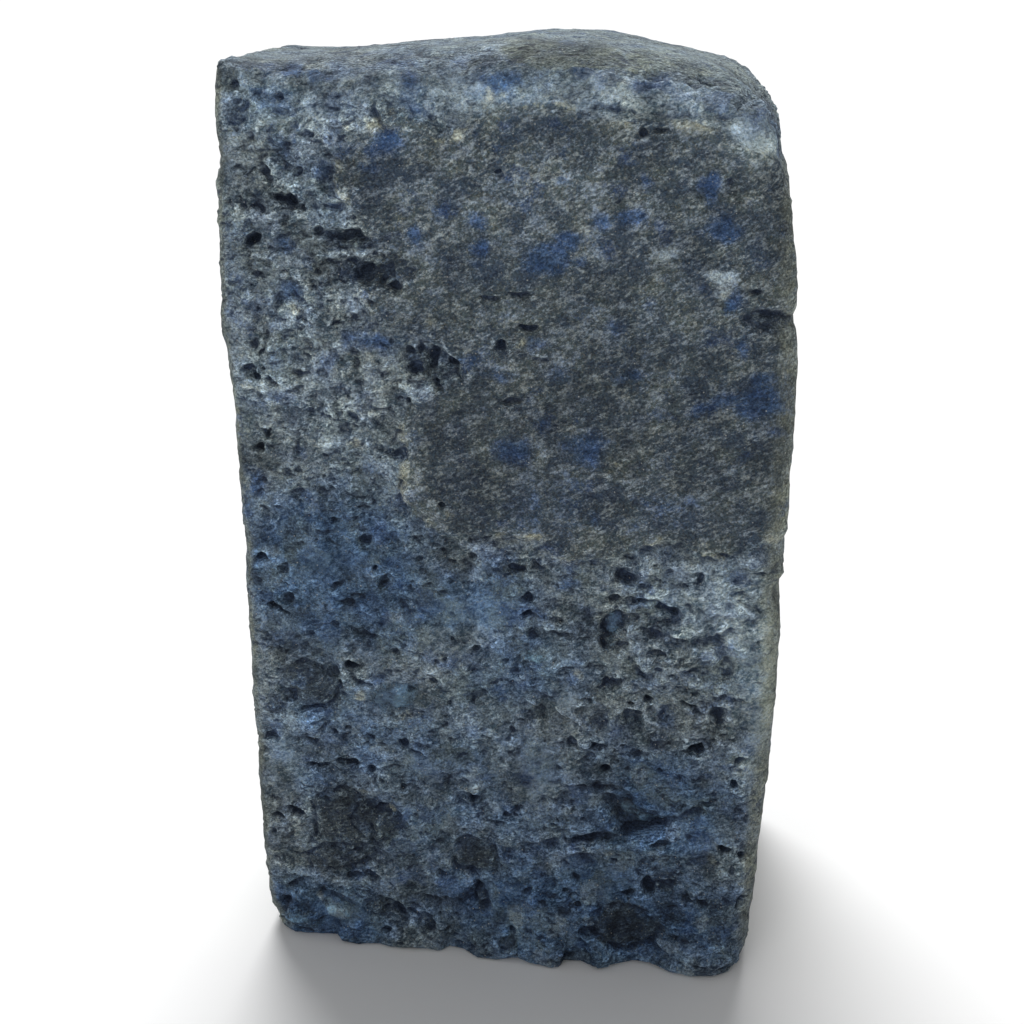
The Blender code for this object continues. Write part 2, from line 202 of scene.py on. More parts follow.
# Rounded lumps: (x, z, half width, half height, turn, rise)
LUMPS = (
    (29.5, 64.5, 3.1, 1.5, 5, 1), (33.5, 65.5, 3.1, 1.5, -5, 1), (37.5, 67.5, 2.2, 1.7, 0, 0.8),
    (27, 60, 2.8, 1.7, -10, 1), (24, 70, 3.1, 1.7, 10, 0.8), (32.5, 60, 2.8, 1.6, -20, 0.9),
    (37, 61, 2.5, 1.6, 0, 0.7), (23, 73.5, 2.2, 1.3, -10, 0.7), (28.5, 75.5, 3.1, 1.5, 15, 0.8),
    (39, 76.5, 2.4, 2.3, 0, 0.8), (22, 58, 2.2, 1.8, 0, 0.8), (30, 55, 3.2, 1.4, 0, 0.7),
    (-26.5, 3.5, 2, 1.7, 0, 1.3), (-37, 4.5, 4.4, 2.5, -5, 1.6), (-29.5, 6.5, 2.9, 1.9, 0, 1.2),
    (-27.5, 92.5, 3.6, 1.3, -4, 0.8), (-6, 32.5, 1.9, 1.1, -25, 1), (-9.5, 82.5, 3.5, 2.7, 0, 0.7),
    (-26, 122.5, 3.7, 1.4, 0, 0.8), (-22.5, 122.5, 3.1, 1.2, 0, 0.6), (-14, 101, 3.2, 1.9, 10, 0.7),
    (-31.5, 113, 3.5, 2.8, 0, 0.6), (-33.5, 107.5, 3.2, 1.6, 0, 0.5), (-34.5, 135.5, 2.5, 1.2, -20, 0.6),
    (-31, 131.5, 1.5, 1.8, 0, 0.8), (-37, 120.5, 2.2, 1.5, 0, 0.7), (-40.5, 127.5, 1.6, 1.5, 0, 0.6),
    (-23, 131, 2.1, 2.1, 0, 0.5), (-28.5, 137, 1.8, 1.2, 0, 0.5), (-37, 144.5, 1.5, 1.1, 0, 0.5),
    (2.5, 109, 1.8, 0.9, 50, 0.8), (8.5, 101.5, 4.6, 1.9, 0, 0.4), (20, 124, 4.4, 2.6, 0, 0.4),
    (32, 121, 4.3, 2.3, 0, 0.5), (6.5, 135, 5.8, 2.9, 0, 0.4), (-9.5, 133, 3.6, 2, 0, 0.4),
    (-32.5, 50.5, 4.5, 4.1, 0, 0.8), (-18.5, 48.5, 3.7, 2.2, 5, 0.6), (13.5, 70.5, 4.1, 3.1, -30, 0.7),
    (8, 64, 3.5, 1.7, -25, 0.5), (-12.5, 55.5, 4, 2.5, 0, 0.4), (2.5, 38.5, 5.7, 4.1, 0, 0.5),
    (-6, 45, 4.4, 2.6, 0, 0.4), (-26.5, 24.5, 7.1, 5.1, 0, 0.6), (-13, 13, 4.2, 3.6, 0, 0.6),
    (-9.5, 6, 4.6, 2.9, 0, 0.8), (1, 2, 3.9, 2.9, 0, 0.9), (8, 2, 3.5, 3.3, 0, 1),
    (16.5, 3, 2.8, 2.8, 0, 0.8), (33.5, 4, 5.7, 3.2, 0, 1), (19.5, 19, 6.7, 1.9, 12, 0.6),
    (31, 24, 4, 1.7, 10, 0.6), (39, 17, 2.6, 1.9, 0, 0.5), (9.5, 26, 5.1, 1.9, 0, 0.5),
    (-19, 2, 4, 1.7, 0, 0.8), (30.5, 35.5, 4.2, 2.2, 0, 0.4), (24, 44, 3.2, 1.8, 0, 0.4),
    (39.5, 36, 2.2, 4, 0, 0.5), (-38, 15.5, 3.6, 2, 0, 0.4), (-39, 31, 2.9, 3.1, 0, 0.4),
    (-27.5, 30, 4.2, 1.6, 0, 0.3), (-36.5, 98.5, 2.9, 1.3, -8, 0.6), (-40.5, 101, 2, 1, 0, 0.5),
    (-22.5, 102.5, 3.2, 2.2, 0, 0.4), (2.5, 81, 4.8, 1.3, 0, 0.3), (17, 23, 9, 1.6, 12, 0.5),
)
# Pools of cobalt dye: (x, z, half width, half height, turn, strength); the next lists read the same
COBALT = (
    (-31, 149, 1.7, 0.8, 0, 1), (-27.5, 148.5, 1.3, 1, 0, 0.9), (-13.5, 148, 1.3, 1.1, -20, 0.9),
    (0, 147.5, 2.6, 1.1, 10, 0.9), (-3.5, 148, 1.2, 0.7, 0, 0.7), (8.5, 153.5, 2, 0.8, 0, 0.9),
    (-33.5, 137.5, 1.4, 2, 0, 0.8), (-17, 138.5, 2.6, 1.9, 20, 0.8), (-19.5, 135, 1.8, 1, 0, 0.7),
    (-13, 125.5, 1.5, 1.3, 0, 0.9), (-4, 127.5, 1.3, 1.2, 0, 0.8), (-4, 123.5, 1.4, 1.3, 0, 0.8),
    (-4.5, 121, 1.1, 0.9, 0, 0.7), (6, 122, 3.3, 1.9, 25, 1), (9, 125, 1.6, 1.3, 30, 1),
    (11.5, 121.5, 1.2, 0.9, 0, 0.6), (14.5, 128, 1.2, 1, 0, 0.7), (18, 128.5, 1.9, 1.2, 10, 0.9),
    (30.5, 133, 1.4, 2, 0, 1), (32, 128, 2.1, 1.9, -20, 0.9), (33.5, 126.5, 1.4, 1.2, 0, 0.8),
    (-33.5, 123.5, 1.4, 1.8, 20, 0.7), (-33, 116.5, 1.6, 1.4, 0, 0.8), (-20, 108.5, 3.1, 1.1, 0, 0.8),
    (-24, 109, 1.6, 1.1, 0, 0.6), (34.5, 117, 1.6, 1.5, 0, 0.7), (36, 110, 0.9, 1.4, 0, 0.7),
    (17, 111.5, 1.8, 1.2, 0, 0.5), (18.5, 105, 2.7, 0.8, 5, 0.8), (31, 100, 2.2, 1.1, 22, 0.8),
    (33.5, 101.5, 1.8, 1.2, 0, 0.8), (38.5, 102, 3.2, 2.3, 0, 1), (38.5, 105, 2.3, 1.2, 0, 0.8),
    (1.5, 92.5, 2.7, 2.1, 0, 0.9), (7, 96.5, 1.2, 1.9, 0, 0.6), (13.5, 93, 3.1, 2.9, 0, 0.9),
    (14.5, 82, 1.2, 1.3, 0, 0.7), (-40, 85, 1.3, 1.7, 0, 0.8), (10.5, 70, 1.9, 1, 0, 0.5),
    (6, 65.5, 2.3, 1.2, -20, 0.5), (13, 66, 2.2, 1.4, 0, 0.5), (28.5, 133.5, 0.9, 0.8, 0, 0.6),
    (21.5, 133.5, 1, 0.7, 0, 0.5), (8, 133.5, 1.2, 0.6, 0, 0.5), (-13, 142, 1.5, 0.6, 0, 0.4),
    (-43, 81, 1.2, 2.1, 0, 0.5), (-31.5, 80.5, 2.3, 1.2, 0, 0.5), (-26, 82, 2.6, 1.4, 0, 0.4),
    (-33.5, 90, 1.6, 1, 0, 0.4), (-21, 78, 2, 0.9, 0, 0.4), (-8.5, 76, 2.3, 1.4, 0, 0.4),
    (-42, 69.5, 1, 1.8, 0, 0.3), (-26.5, 135, 1.2, 1.5, 0, 0.6), (-23.5, 137.5, 1.5, 0.9, 0, 0.5),
    (2.5, 130, 1.5, 0.7, 0, 0.4), (-8.5, 129.5, 1.4, 1, 0, 0.5), (28.5, 127.5, 1.1, 0.9, 0, 0.4),
    (5.5, 110, 2.1, 1.2, 0, 0.4), (8, 84, 8, 4, 10, 0.35), (24, 84, 6, 4, 0, 0.3),
    (8, 104.5, 2.4, 1.2, 0, 0.4), (24.5, 95, 1.5, 0.9, 0, 0.3), (29, 85.5, 1.5, 0.8, 0, 0.3),
    (22.5, 33, 3.3, 1.3, -10, 0.5), (26.5, 47, 1.9, 1.4, 0, 0.4), (10.5, 125.5, 0.9, 0.7, 0, 0.6),
    (29.5, 110, 1.2, 0.8, 0, 0.4), (40.5, 97.5, 1.5, 0.9, 0, 0.5), (-5.5, 106.5, 1.9, 1.2, 0, 0.5),
    (-0.5, 104.5, 2.2, 0.9, 0, 0.4),
)
CREAM = (
    (-10, 139, 1.3, 0.4, 0, 0.9), (-7, 140, 0.9, 0.9, 0, 0.9), (-5, 142, 0.4, 1.3, -25, 0.8),
    (-2.5, 145.5, 0.6, 1.5, -15, 0.8), (-23.5, 92, 2.4, 1, 0, 0.8), (-23.5, 48.5, 1.2, 0.9, 0, 0.9),
    (-17, 45, 1.5, 0.9, 10, 0.8), (-24.5, 58, 2.9, 1.1, 0, 0.5), (-6, 32.5, 1.9, 1, -25, 0.8),
    (35, 22, 1.5, 1, -10, 0.9), (7.5, 59, 1.3, 0.9, 0, 0.6), (12, 55.5, 1.1, 1.1, 0, 0.9),
    (23, 94, 0.8, 0.6, 0, 0.9), (27, 102.5, 0.7, 0.6, 0, 0.7), (18, 91, 0.8, 0.6, 0, 0.9),
    (-20, 27.5, 1.1, 0.8, 0, 0.9), (-24, 30, 3.5, 0.6, 0, 0.5), (-24, 140.5, 0.8, 0.7, 0, 0.8),
    (-33.5, 144.5, 0.6, 0.4, 0, 0.8), (-34, 119, 1.9, 0.6, 0, 0.7), (-33, 113, 2.2, 1.4, 0, 0.5),
    (-13, 112.5, 2.2, 1.4, 0, 0.5), (9.5, 132, 0.4, 0.7, 0, 0.8), (9.5, 129.5, 0.6, 0.6, 0, 0.7),
    (14, 130.5, 0.9, 0.4, 20, 0.6), (-11.5, 79.5, 1.6, 0.7, -25, 0.7), (-7.5, 82, 1.3, 1, 0, 0.8),
    (3.5, 110, 1.7, 0.6, 50, 0.9), (0.5, 107, 1.2, 0.6, 30, 0.8), (-39.5, 150, 1.8, 1, 0, 0.7),
    (-41.5, 148, 0.8, 2, 0, 0.6), (-43.5, 125, 0.5, 3, 0, 0.5), (-22.5, 152, 3.9, 0.4, 0, 0.5),
    (-40.5, 101, 2.3, 0.6, -10, 0.6), (-27.5, 99, 1.9, 0.6, 0, 0.5), (-32, 103.5, 1, 0.6, 0, 0.3),
    (-20.5, 100, 1.3, 0.8, 0, 0.4), (-8, 77, 1.3, 0.7, 0, 0.5), (-6, 78, 1, 0.7, 0, 0.5),
    (1.5, 113, 1.8, 0.3, -5, 0.7), (4, 72.5, 0.6, 0.7, 0, 0.8), (2.5, 72.5, 0.5, 0.5, 0, 0.7),
    (19, 78.5, 1.9, 0.7, 0, 0.3), (4.5, 78.5, 1.4, 0.7, 0, 0.8), (32.5, 118.5, 1.3, 0.6, 0, 0.8),
    (35, 114, 2.3, 0.7, 0, 0.3), (9, 59, 0.8, 0.5, 0, 0.7), (1, 41.5, 0.7, 0.7, 0, 0.5),
    (0, 20.5, 2.4, 0.6, 0, 0.3), (9.5, 20.5, 3.7, 0.6, 0, 0.5), (19.5, 22.5, 2.7, 0.6, 10, 0.5),
    (15, 153, 2, 0.5, 0, 0.3), (-2.5, 146, 0.6, 0.7, 0, 0.5), (-35.5, 141.5, 0.8, 0.6, 0, 0.4),
    (-29.5, 131.5, 1.2, 0.6, 0, 0.3), (2.5, 121, 0.6, 0.6, 0, 0.5), (-38.5, 87, 1, 0.5, 0, 0.6),
    (-4.5, 19.5, 1, 0.8, 0, 0.5), (-24.5, 16.5, 1.4, 1.2, 0, 0.4), (-0.5, 134, 1.5, 0.4, -15, 0.4),
    (30, 59.5, 0.8, 1, 0, 0.5), (21, 72.5, 0.9, 0.5, 0, 0.4), (21.5, 94, 0.8, 0.5, 0, 0.7),
    (8.5, 117.5, 1.5, 0.8, 0, 0.3), (21.5, 78.5, 1.6, 0.7, 0, 0.3), (-6, 137, 0.9, 0.7, 0, 0.4),
    (-11, 132, 1.5, 0.9, 0, 0.2), (-18, 115, 1.6, 1.2, 0, 0.3), (-24.5, 119.5, 1.6, 0.8, 0, 0.4),
)
# Pale chips, and pale laid over the tops of many lumps as a painted highlight
PALE_AND_LUMP_HIGHLIGHTS = (
    (31.5, 120.5, 2.6, 1.3, 0, 1), (24, 123.5, 1.6, 1.3, 20, 0.7), (32, 118.5, 2, 0.7, 0, 0.8),
    (-13.5, 101, 2.8, 1.8, 10, 0.8), (-26, 122, 3.1, 1.1, 0, 0.8), (-22.5, 122.5, 2.8, 1.1, 0, 0.7),
    (-27.5, 92.5, 3.2, 1.2, 0, 0.6), (36, 139.5, 2.7, 1.8, -15, 0.9), (33, 141, 1.1, 1.2, 0, 0.9),
    (-9.5, 146, 3.8, 1.7, 0, 0.6), (-5, 147, 2.9, 1.1, 0, 0.6), (19.5, 145.5, 11.3, 1.4, 0, 0.5),
    (10, 146.5, 5.7, 1.7, 0, 0.4), (31, 71, 5.3, 3, 0, 0.5), (39.5, 77, 3, 3, 0, 0.6),
    (38, 68, 2.5, 2.4, 0, 0.6), (-36.5, 101, 3.2, 1.3, -8, 0.6), (-29.5, 6.5, 2.4, 1.4, -10, 1),
    (17, 104.5, 1.4, 1.2, 0, 0.6), (-30.5, 131.5, 1.1, 1.3, 0, 0.8), (-35.5, 129.5, 1.9, 1.8, 0, 0.4),
    (-38.5, 135.5, 2.8, 1.5, 0, 0.4), (-22, 129, 1.2, 0.9, 0, 0.7), (-40, 138.5, 1.5, 0.9, 0, 0.4),
    (-4, 76.5, 3.9, 1.2, 15, 0.5), (9, 75.5, 4.8, 0.8, 0, 0.4), (22, 75.5, 3.7, 1.7, 0, 0.4),
    (29.5, 64.5, 3.4, 1.5, 0, 0.4), (27, 60, 2.5, 1.4, 0, 0.4), (6.5, 91.5, 1.9, 1.3, 0, 0.4),
    (-17, 133, 1.5, 0.9, 0, 0.3), (-29, 107.5, 2.2, 1.3, 0, 0.4), (-24, 105.5, 3.2, 1.6, 0, 0.4),
    (-32.5, 95.5, 2.9, 1, 0, 0.3), (-19, 95.5, 2.2, 2.3, 0, 0.4), (-25.5, 115, 2.5, 1.2, 0, 0.3),
    (25, 63.5, 1.6, 2.1, 0, 0.3), (-33.5, 9, 1.1, 0.6, -40, 1), (-26.5, 3.5, 1.8, 1.4, 0, 0.3),
    (-14, 10, 3.9, 1.8, 0, 0.2), (4, 100.5, 1.5, 1.1, 0, 0.3), (-12.5, 125, 1.5, 0.4, 0, 0.3),
    (14.5, 111.5, 1.8, 0.8, 0, 0.3), (34.5, 60, 2.5, 1.7, 0, 0.3), (-1, 65.5, 2.3, 1.4, 0, 0.2),
    (9, 38, 4, 2.6, 0, 0.2), (16, 19, 5.1, 1.6, 10, 0.2), (-32.5, 128.5, 1.9, 0.9, 0, 0.3),
    (-1.5, 150.5, 5.8, 1.1, 0, 0.2),
)
# Dark inclusions, and dark laid into many of the pits as painted shade
DARK_AND_PIT_SHADE = (
    (-33, 50, 4.8, 4.4, 0, 1), (-28, 24.5, 6, 5.5, 0, 0.9), (-22, 24.5, 4.2, 3.9, 0, 0.9),
    (-29, 17.5, 6.1, 2.4, 12, 0.8), (-5, 19.5, 3.8, 3.3, 0, 0.8), (20.5, 8, 5.5, 4, 0, 0.9),
    (-21, 7.5, 3.1, 1.8, -20, 0.7), (-4, 11.5, 1.2, 2.6, 0, 0.8), (-14, 5, 2, 1.6, -20, 0.7),
    (-16, 143, 2.5, 2.3, 0, 0.6), (-40, 142.5, 1.7, 1.7, 0, 0.8), (17.5, 63, 1.3, 3.1, -4, 0.9),
    (41.5, 126, 1.1, 8.6, 0, 0.4), (-19.5, 119.5, 5, 2.1, 12, 0.7), (-31, 124.5, 4.7, 1.5, 0, 0.3),
    (-11.5, 105.5, 4.1, 1.9, -10, 0.6), (0.5, 72.5, 1.9, 1.5, 0, 0.7), (19.5, 72.5, 1.4, 1, 0, 0.6),
    (-4, 50, 1.3, 1.1, 0, 0.6), (34.5, 49, 1.1, 1.1, 0, 0.6), (20.5, 46.5, 2.1, 1.4, 20, 0.6),
    (-8, 140.5, 2.4, 1.4, 0, 0.4), (20.5, 142.5, 2, 0.8, 0, 0.5), (-16.5, 85.5, 1.3, 2, 0, 0.5),
    (5.5, 116, 7.5, 1.5, 0, 0.3), (28.5, 90.5, 6.1, 2.6, 0, 0.3), (15, 85, 7.8, 2.9, 0, 0.3),
    (-29, 97.5, 1.9, 1.5, 0, 0.4), (27.5, 116, 8.8, 1.2, 0, 0.3), (39, 114, 3.2, 1, 0, 0.7),
    (5.5, 99, 6.2, 1.3, 0, 0.3), (8, 136.5, 5.8, 2, 0, 0.2), (-26, 64.5, 2.9, 1.2, -8, 0.5),
    (-12, 73, 1.6, 1.7, 0, 0.2), (-28, 132, 1.8, 3.2, 0, 0.3), (-38, 124.5, 2.2, 2.1, 0, 0.5),
    (-1.5, 110.5, 2.1, 2.2, 0, 0.5), (-10.5, 110, 4, 1.6, 0, 0.3), (17, 53.5, 4.2, 1.4, 12, 0.5),
    (14, 58.5, 2.3, 1.4, 0, 0.3), (-38.5, 46.5, 2.8, 3.7, 0, 0.4), (-42, 39.5, 1.4, 2.7, 0, 0.2),
    (26.5, 17, 3.7, 2.3, 0, 0.5), (36.5, 14, 4.3, 1.6, 0, 0.4), (33.5, 7, 5, 2, 0, 0.3),
    (-36.5, 6.5, 4.4, 1.7, -30, 0.4), (-38.5, 2, 3, 1.3, 0, 0.4), (-6.5, 30, 1.7, 0.8, 0, 0.6),
    (16, 32, 4.3, 1.9, -10, 0.3), (18, 34.5, 5, 0.9, -10, 0.5), (-8, 95, 2.2, 1.9, 0, 0.3),
    (20, 135.5, 2.6, 1.4, 0, 0.2), (34, 132.5, 1.1, 1.1, 0, 0.4), (2.5, 136.5, 3.8, 3.1, 0, 0.2),
    (-22, 124, 4.6, 1.2, 0, 0.6), (20.5, 118, 5.9, 1.5, 0, 0.2), (-10, 114, 4.6, 3.1, 0, 0.2),
)
FACETS = (
    (-18.5, 48.5, 3.9, 2.4, 6, 1), (6, 57, 2.4, 1.1, -10, 0.7), (22, 29.5, 3.6, 2.1, -15, 1),
    (17.5, 63.5, 1.1, 2.6, -4, 0.8), (-37, 4.5, 4.8, 1.9, -8, 0.7), (-19.5, 69, 1.2, 1.4, 0, 0.5),
    (-29.5, 6.5, 2.5, 1.6, -10, 0.8), (14, 50.5, 2, 0.9, 10, 0.4),
)
# Cracks and ledge lines: (width, depth, points)
CREASES = (
    (0.35, 1, ((13.5, 143.5), (17.5, 143.5), (24, 143), (33, 143), (39, 142))),
    (0.35, 1, ((-39.5, 112.5), (-37.5, 111.5), (-37.5, 109.5), (-38, 107))),
    (0.55, 1, ((-28.5, 98.5), (-29, 96.5), (-30, 93))),
    (0.24, 0.6, ((0.5, 64), (-1.5, 61.5), (-2.2, 59.5), (-4.5, 57), (-6.5, 53))),
    (0.28, 0.6, ((-41, 53.5), (-37, 55.5), (-33.5, 57), (-30, 55), (-27.5, 51.5))),
    (0.3, 0.8, ((-14.5, 19.5), (-11, 21.5), (-8, 23.5))),
    (0.5, 1.8, ((7, 26), (13.5, 24.5), (20.5, 25.5), (27, 29), (32.5, 31))),
    (0.5, 1.6, ((14.5, 34.5), (17.5, 34.5), (20, 33.5), (22.5, 32), (26, 30))),
    (0.45, 1.3, ((26, 30), (23.5, 27.5), (19, 25.5), (14, 24), (8, 22.5), (2.5, 22), (-1, 22.5))),
    (0.4, 1.1, ((23.5, 62.5), (26, 62), (28.5, 63), (31.5, 62), (34, 63), (37.5, 64))),
    (0.4, 0.9, ((22, 68), (25, 67.5), (28, 66))), (0.4, 1, ((19.5, 61.5), (20, 59), (21, 56), (24.5, 54))),
    (0.35, 0.8, ((-13.5, 20), (-11, 21), (-9, 18), (-6, 17), (-4.5, 14), (-5.5, 10.5))),
    (0.45, 1, ((-41, 3.5), (-39.5, 6.5), (-36, 10.5), (-32.5, 9.5), (-28.5, 8.5), (-25.5, 6))),
    (0.35, 0.8, ((-36, 11), (-31.5, 13), (-27.5, 15), (-24.5, 17))),
    (0.5, 1.3, ((36.5, 113.5), (38.5, 114.5), (43, 115))), (0.3, 0.7, ((-15, 11), (-11.5, 9), (-10.5, 6))),
    (0.3, 0.4, ((9.5, 19.5), (14.5, 21), (19.5, 22.5))),
    (0.35, 0.9, ((29, 56.5), (31.5, 57.5), (35.5, 57), (37.5, 58.5))),
    (0.35, 0.8, ((25, 73), (27.5, 74), (30, 76), (33, 75.5))),
    (0.4, 0.9, ((29.5, 69), (32.5, 67), (36.5, 67.5), (39, 66.5))),
    (0.35, 0.8, ((31.5, 60.5), (34, 60), (36, 58))), (0.3, 0.5, ((5, 60.5), (2.5, 57.5), (1.5, 54.5))),
    (0.28, 0.4, ((-7, 73.5), (-1, 69.5), (5, 64))), (0.28, 0.4, ((7, 72), (12, 68), (16, 61))),
    (0.35, 0.6, ((-42, 57), (-41, 53.5), (-42, 48))), (0.35, 0.7, ((-37, 40), (-39.5, 37), (-42, 36.5))),
    (0.35, 0.8, ((-15, 99), (-16, 95.5), (-16, 90.5))), (0.35, 0.5, ((-7.5, 103.5), (-4, 102.5), (0, 105))),
)
CRUST_OUTLINE = (
    (-23.5, 137.5), (-20, 141.5), (-14, 143), (-9.5, 139.5), (-4.5, 142), (-0.5, 145), (6.5, 144),
    (14.5, 142.5), (23.5, 142.5), (30, 141.5), (35, 138.5), (41.5, 136.5), (43.5, 117), (45, 93),
    (44, 81.5), (38, 78.5), (34.5, 76), (30.5, 76.5), (28, 78.5), (23, 78.5), (18.5, 76.5), (15, 75),
    (10, 74.5), (7, 76.5), (-0.5, 79), (-5.5, 78), (-10.5, 78), (-14.5, 80), (-16.5, 83.5), (-16, 88),
    (-16.5, 94.5), (-15.5, 99), (-11.5, 102), (-6.5, 103), (-8.5, 107.5), (-14, 110), (-18.5, 111.5),
    (-22, 115), (-22, 118), (-18, 121), (-20, 124), (-23.5, 129.5), (-25, 133.5),
)
CAP_OUTLINE = (
    (-1, 152.5), (1.5, 149.5), (5, 148.5), (9.5, 149), (14, 149), (19.5, 149), (24, 149.5), (28, 149),
    (32.5, 149), (35.5, 148.5), (34, 151.5), (27.5, 152.5), (20.5, 154.5), (12, 156), (3.5, 155),
)
# The undercut low on the right
RECESS_OUTLINE = (
    (14.5, 34), (21.5, 33), (25, 30.5), (28.5, 28), (26.5, 25.5), (21.5, 24.5), (17.5, 27.5),
)
# Where the dye shows bluest, and where the rind is roughest
BLUE_ZONES = (
    (-28, 70, 15, 12, 0, 1), (-8, 66, 14, 7, 0, 0.6), (-34, 4, 12, 8, 0, 1), (12, 10, 26, 11, 0, 1),
    (3, 56, 10, 9, 0, 0.5), (24, 30, 14, 12, 0, 0.8), (-8, 30, 18, 16, 0, 0.4), (-28, 40, 12, 12, 0, 0.5),
    (-12, 148, 26, 6, 0, 0.2),
)
COARSE_ZONES = (
    (-33, 128, 15, 26, 0, 0.9), (-22, 98, 16, 12, 0, 0.8), (28, 66, 15, 11, 0, 1), (30, 50, 12, 9, 0, 0.7),
    (-34, 48, 9, 8, 0, 0.7), (-33, 12, 12, 9, 0, 0.8), (8, 50, 12, 8, 0, 0.7), (14, 8, 14, 9, 0, 0.7),
    (0, 143, 30, 5, 0, 0.5),
)
# Where the rind is smoother, with few pores
SMOOTH = (
    (5, 35.4, 2.9, 5.3, 10, 1), (-13.8, 35.6, 5.5, 1.7, -50, 1), (-38.4, 33.9, 2.7, 4.8, 0, 0.9),
    (-5.7, 64.6, 7.4, 3.9, 0, 0.9), (-28.5, 6.5, 4, 2.9, 5, 1), (-28.6, 72.2, 6.7, 3.1, 0, 0.6),
    (9.1, 50.1, 2.6, 2.2, 0, 0.6), (32.8, 24.3, 4.9, 1.9, 10, 0.5), (16.3, 16.9, 5.1, 3.1, 0, 0.5),
    (-0.9, 10.1, 3.8, 3.6, 0, 0.5), (-16, 145.5, 6.7, 2.5, 0, 0.6), (15.2, 146.3, 10.7, 1.6, 0, 0.8),
    (-9, 59.5, 5, 3.2, 20, 0.6), (-19.3, 47.9, 4.1, 2.4, 6, 0.8), (36.7, 62.7, 3.4, 4.1, 0, 0.6),
    (-31.9, 141.5, 3.4, 2, 0, 0.5), (-27, 92.6, 4.1, 2.3, 0, 0.4), (36, 139.5, 5.5, 4, -15, 1),
    (40.5, 57, 3, 15, 0, 1), (4, 145.5, 34, 3.4, -2, 0.6), (-30, 144.5, 10, 2.5, 4, 0.4),
    (32, 68, 9, 6, 0, 0.5), (-30, 56, 12, 8, 0, 0.4),
)
# Where the rind is lighter or darker than usual: (x, z, half width, half height, turn, lighter); the lifts
# along the crown are painted light on the rounded top
TONES_AND_CROWN_LIGHT = (
    (-22, 144, 20, 5, 3, 0.9), (14, 145.5, 20, 3, -2, 1.1), (36, 139.5, 4.5, 3.5, -20, 0.95),
    (5, 132, 20, 9, 0, 0.25), (10, 94, 26, 14, 0, -0.2), (41, 108, 3.5, 30, 0, -0.2),
    (-29, 104, 14, 12, 0, 0.25), (-17, 90, 5, 9, 0, 0.25), (33, 68, 9, 7, 0, 0.8), (39, 55, 4, 14, 0, 0.7),
    (-33, 128, 10, 14, 0, 0.12), (-25, 66, 14, 10, 0, -0.14), (-2, 58, 14, 8, 0, 0.25),
    (-27, 23, 9, 8, 0, -0.15), (26, 38, 10, 8, 0, -0.25), (26, 12, 16, 10, 0, -0.12),
    (-27, 42, 12, 9, 0, 0.25), (-10, 125, 16, 8, 0, 0.1), (5, 35.4, 2.9, 5.3, 10, 0.2),
    (-13.8, 35.6, 5.5, 1.7, -50, 0.3), (-38.4, 33.9, 2.7, 4.8, 0, 0.2), (-5.7, 64.6, 7.4, 3.9, 0, 0.25),
    (21, 29.1, 5, 2.5, 10, -0.4), (17, 23.4, 9.2, 1.3, 12, 0.2), (19.7, 6.7, 4.8, 3.6, 0, -0.3),
    (-27.9, 127.7, 4.6, 2.1, 0, 0.2), (-24.3, 120.7, 4.7, 2.1, 5, -0.3), (-33.3, 129.8, 2.2, 1.5, 0, -0.3),
    (-26.9, 114.8, 7.1, 2.2, 0, 0.3), (33.9, 123.8, 4.3, 1.4, 0, 0.3), (-31.5, 99.7, 4, 3.2, 0, 0.2),
    (-41, 90.2, 2, 2.3, 0, -0.2),
)
# The lists that each give one mask
SPOTS = {
    "cobalt": COBALT, "cream": CREAM, "pale": PALE_AND_LUMP_HIGHLIGHTS, "dark": DARK_AND_PIT_SHADE, "facet": FACETS, "smooth": SMOOTH,
    "blue": BLUE_ZONES,
}


def length(name, description, millimetres):
    """A length that the user can change."""
    about = {"name": name, "description": description, "min": 0.0}
    return FloatProperty(default=millimetres * MM, subtype="DISTANCE", unit="LENGTH", precision=4, **about)


def count(name, description, default, least):
    """A whole number that the user can change."""
    return IntProperty(name=name, description=description, default=default, min=least)


def angle(name, description, degrees):
    """An angle that the user can change."""
    about = {"name": name, "description": description, "subtype": "ANGLE", "unit": "ROTATION"}
    return FloatProperty(default=math.radians(degrees), **about)


def tint(name, description, red, green, blue):
    """A colour that the user can change, or a tint to multiply one by."""
    about = {"name": name, "description": description, "min": 0.0, "max": 2.0}
    return FloatVectorProperty(default=(red, green, blue, 1.0), size=4, subtype="COLOR", **about)


class GeodeBlockSizes(bpy.types.PropertyGroup):
    """Sizes of the worn block."""

    width: length("Width", "Across the front of the plain block", 87.2)
    depth: length("Depth", "From front to back of the plain block", 60.4)
    height: length("Height", "From the base to the crown of the plain block", 152.6)
    set_back: length("Set back", "How far the middle of the block stands back from the origin", 1.0)
    left_round: length("Left rounding", "Rounding of the upright corner at the front left", 2.5)
    right_round: length("Right rounding", "Rounding of the upright corner at the front right", 5.0)
    front_round: length("Front rounding", "The same corners' rounding into the depth", 4.0)
    back_round: length("Back rounding", "Rounding of the back's corners", 6.0)
    top_left_round: length("Top left rounding", "Rounding from the left side to the top", 1.8)
    top_right_round: length("Top right rounding", "Rounding from the right side to the top", 8.0)
    foot_round: length("Foot rounding", "Rounding round the base", 1.2)
    crown_fall: length("Crown fall", "How far the crown falls towards the back", 3.0)
    foot_high: length("Foot height", "How high the knobs of the foot reach", 9.0)
    crust_rise: length("Crust rise", "How far the brown crust stands proud", 1.0)
    recess_depth: length("Recess depth", "Depth of the undercut low on the right", 2.6)
    cells_across: count("Cells across", "Grid cells across the front", 300, 20)
    cells_deep: count("Cells deep", "Grid cells from front to back", 64, 8)
    layers: count("Layers", "Layers the block is first cut into", 20, 2)
    cells_in_layer: count("Cells in a layer", "Grid cells up each layer", 26, 4)
    front_triangles: count("Front triangles", "Triangles kept on the front", 110000, 1000)
    other_triangles: count("Other triangles", "Triangles kept everywhere else", 84000, 1000)


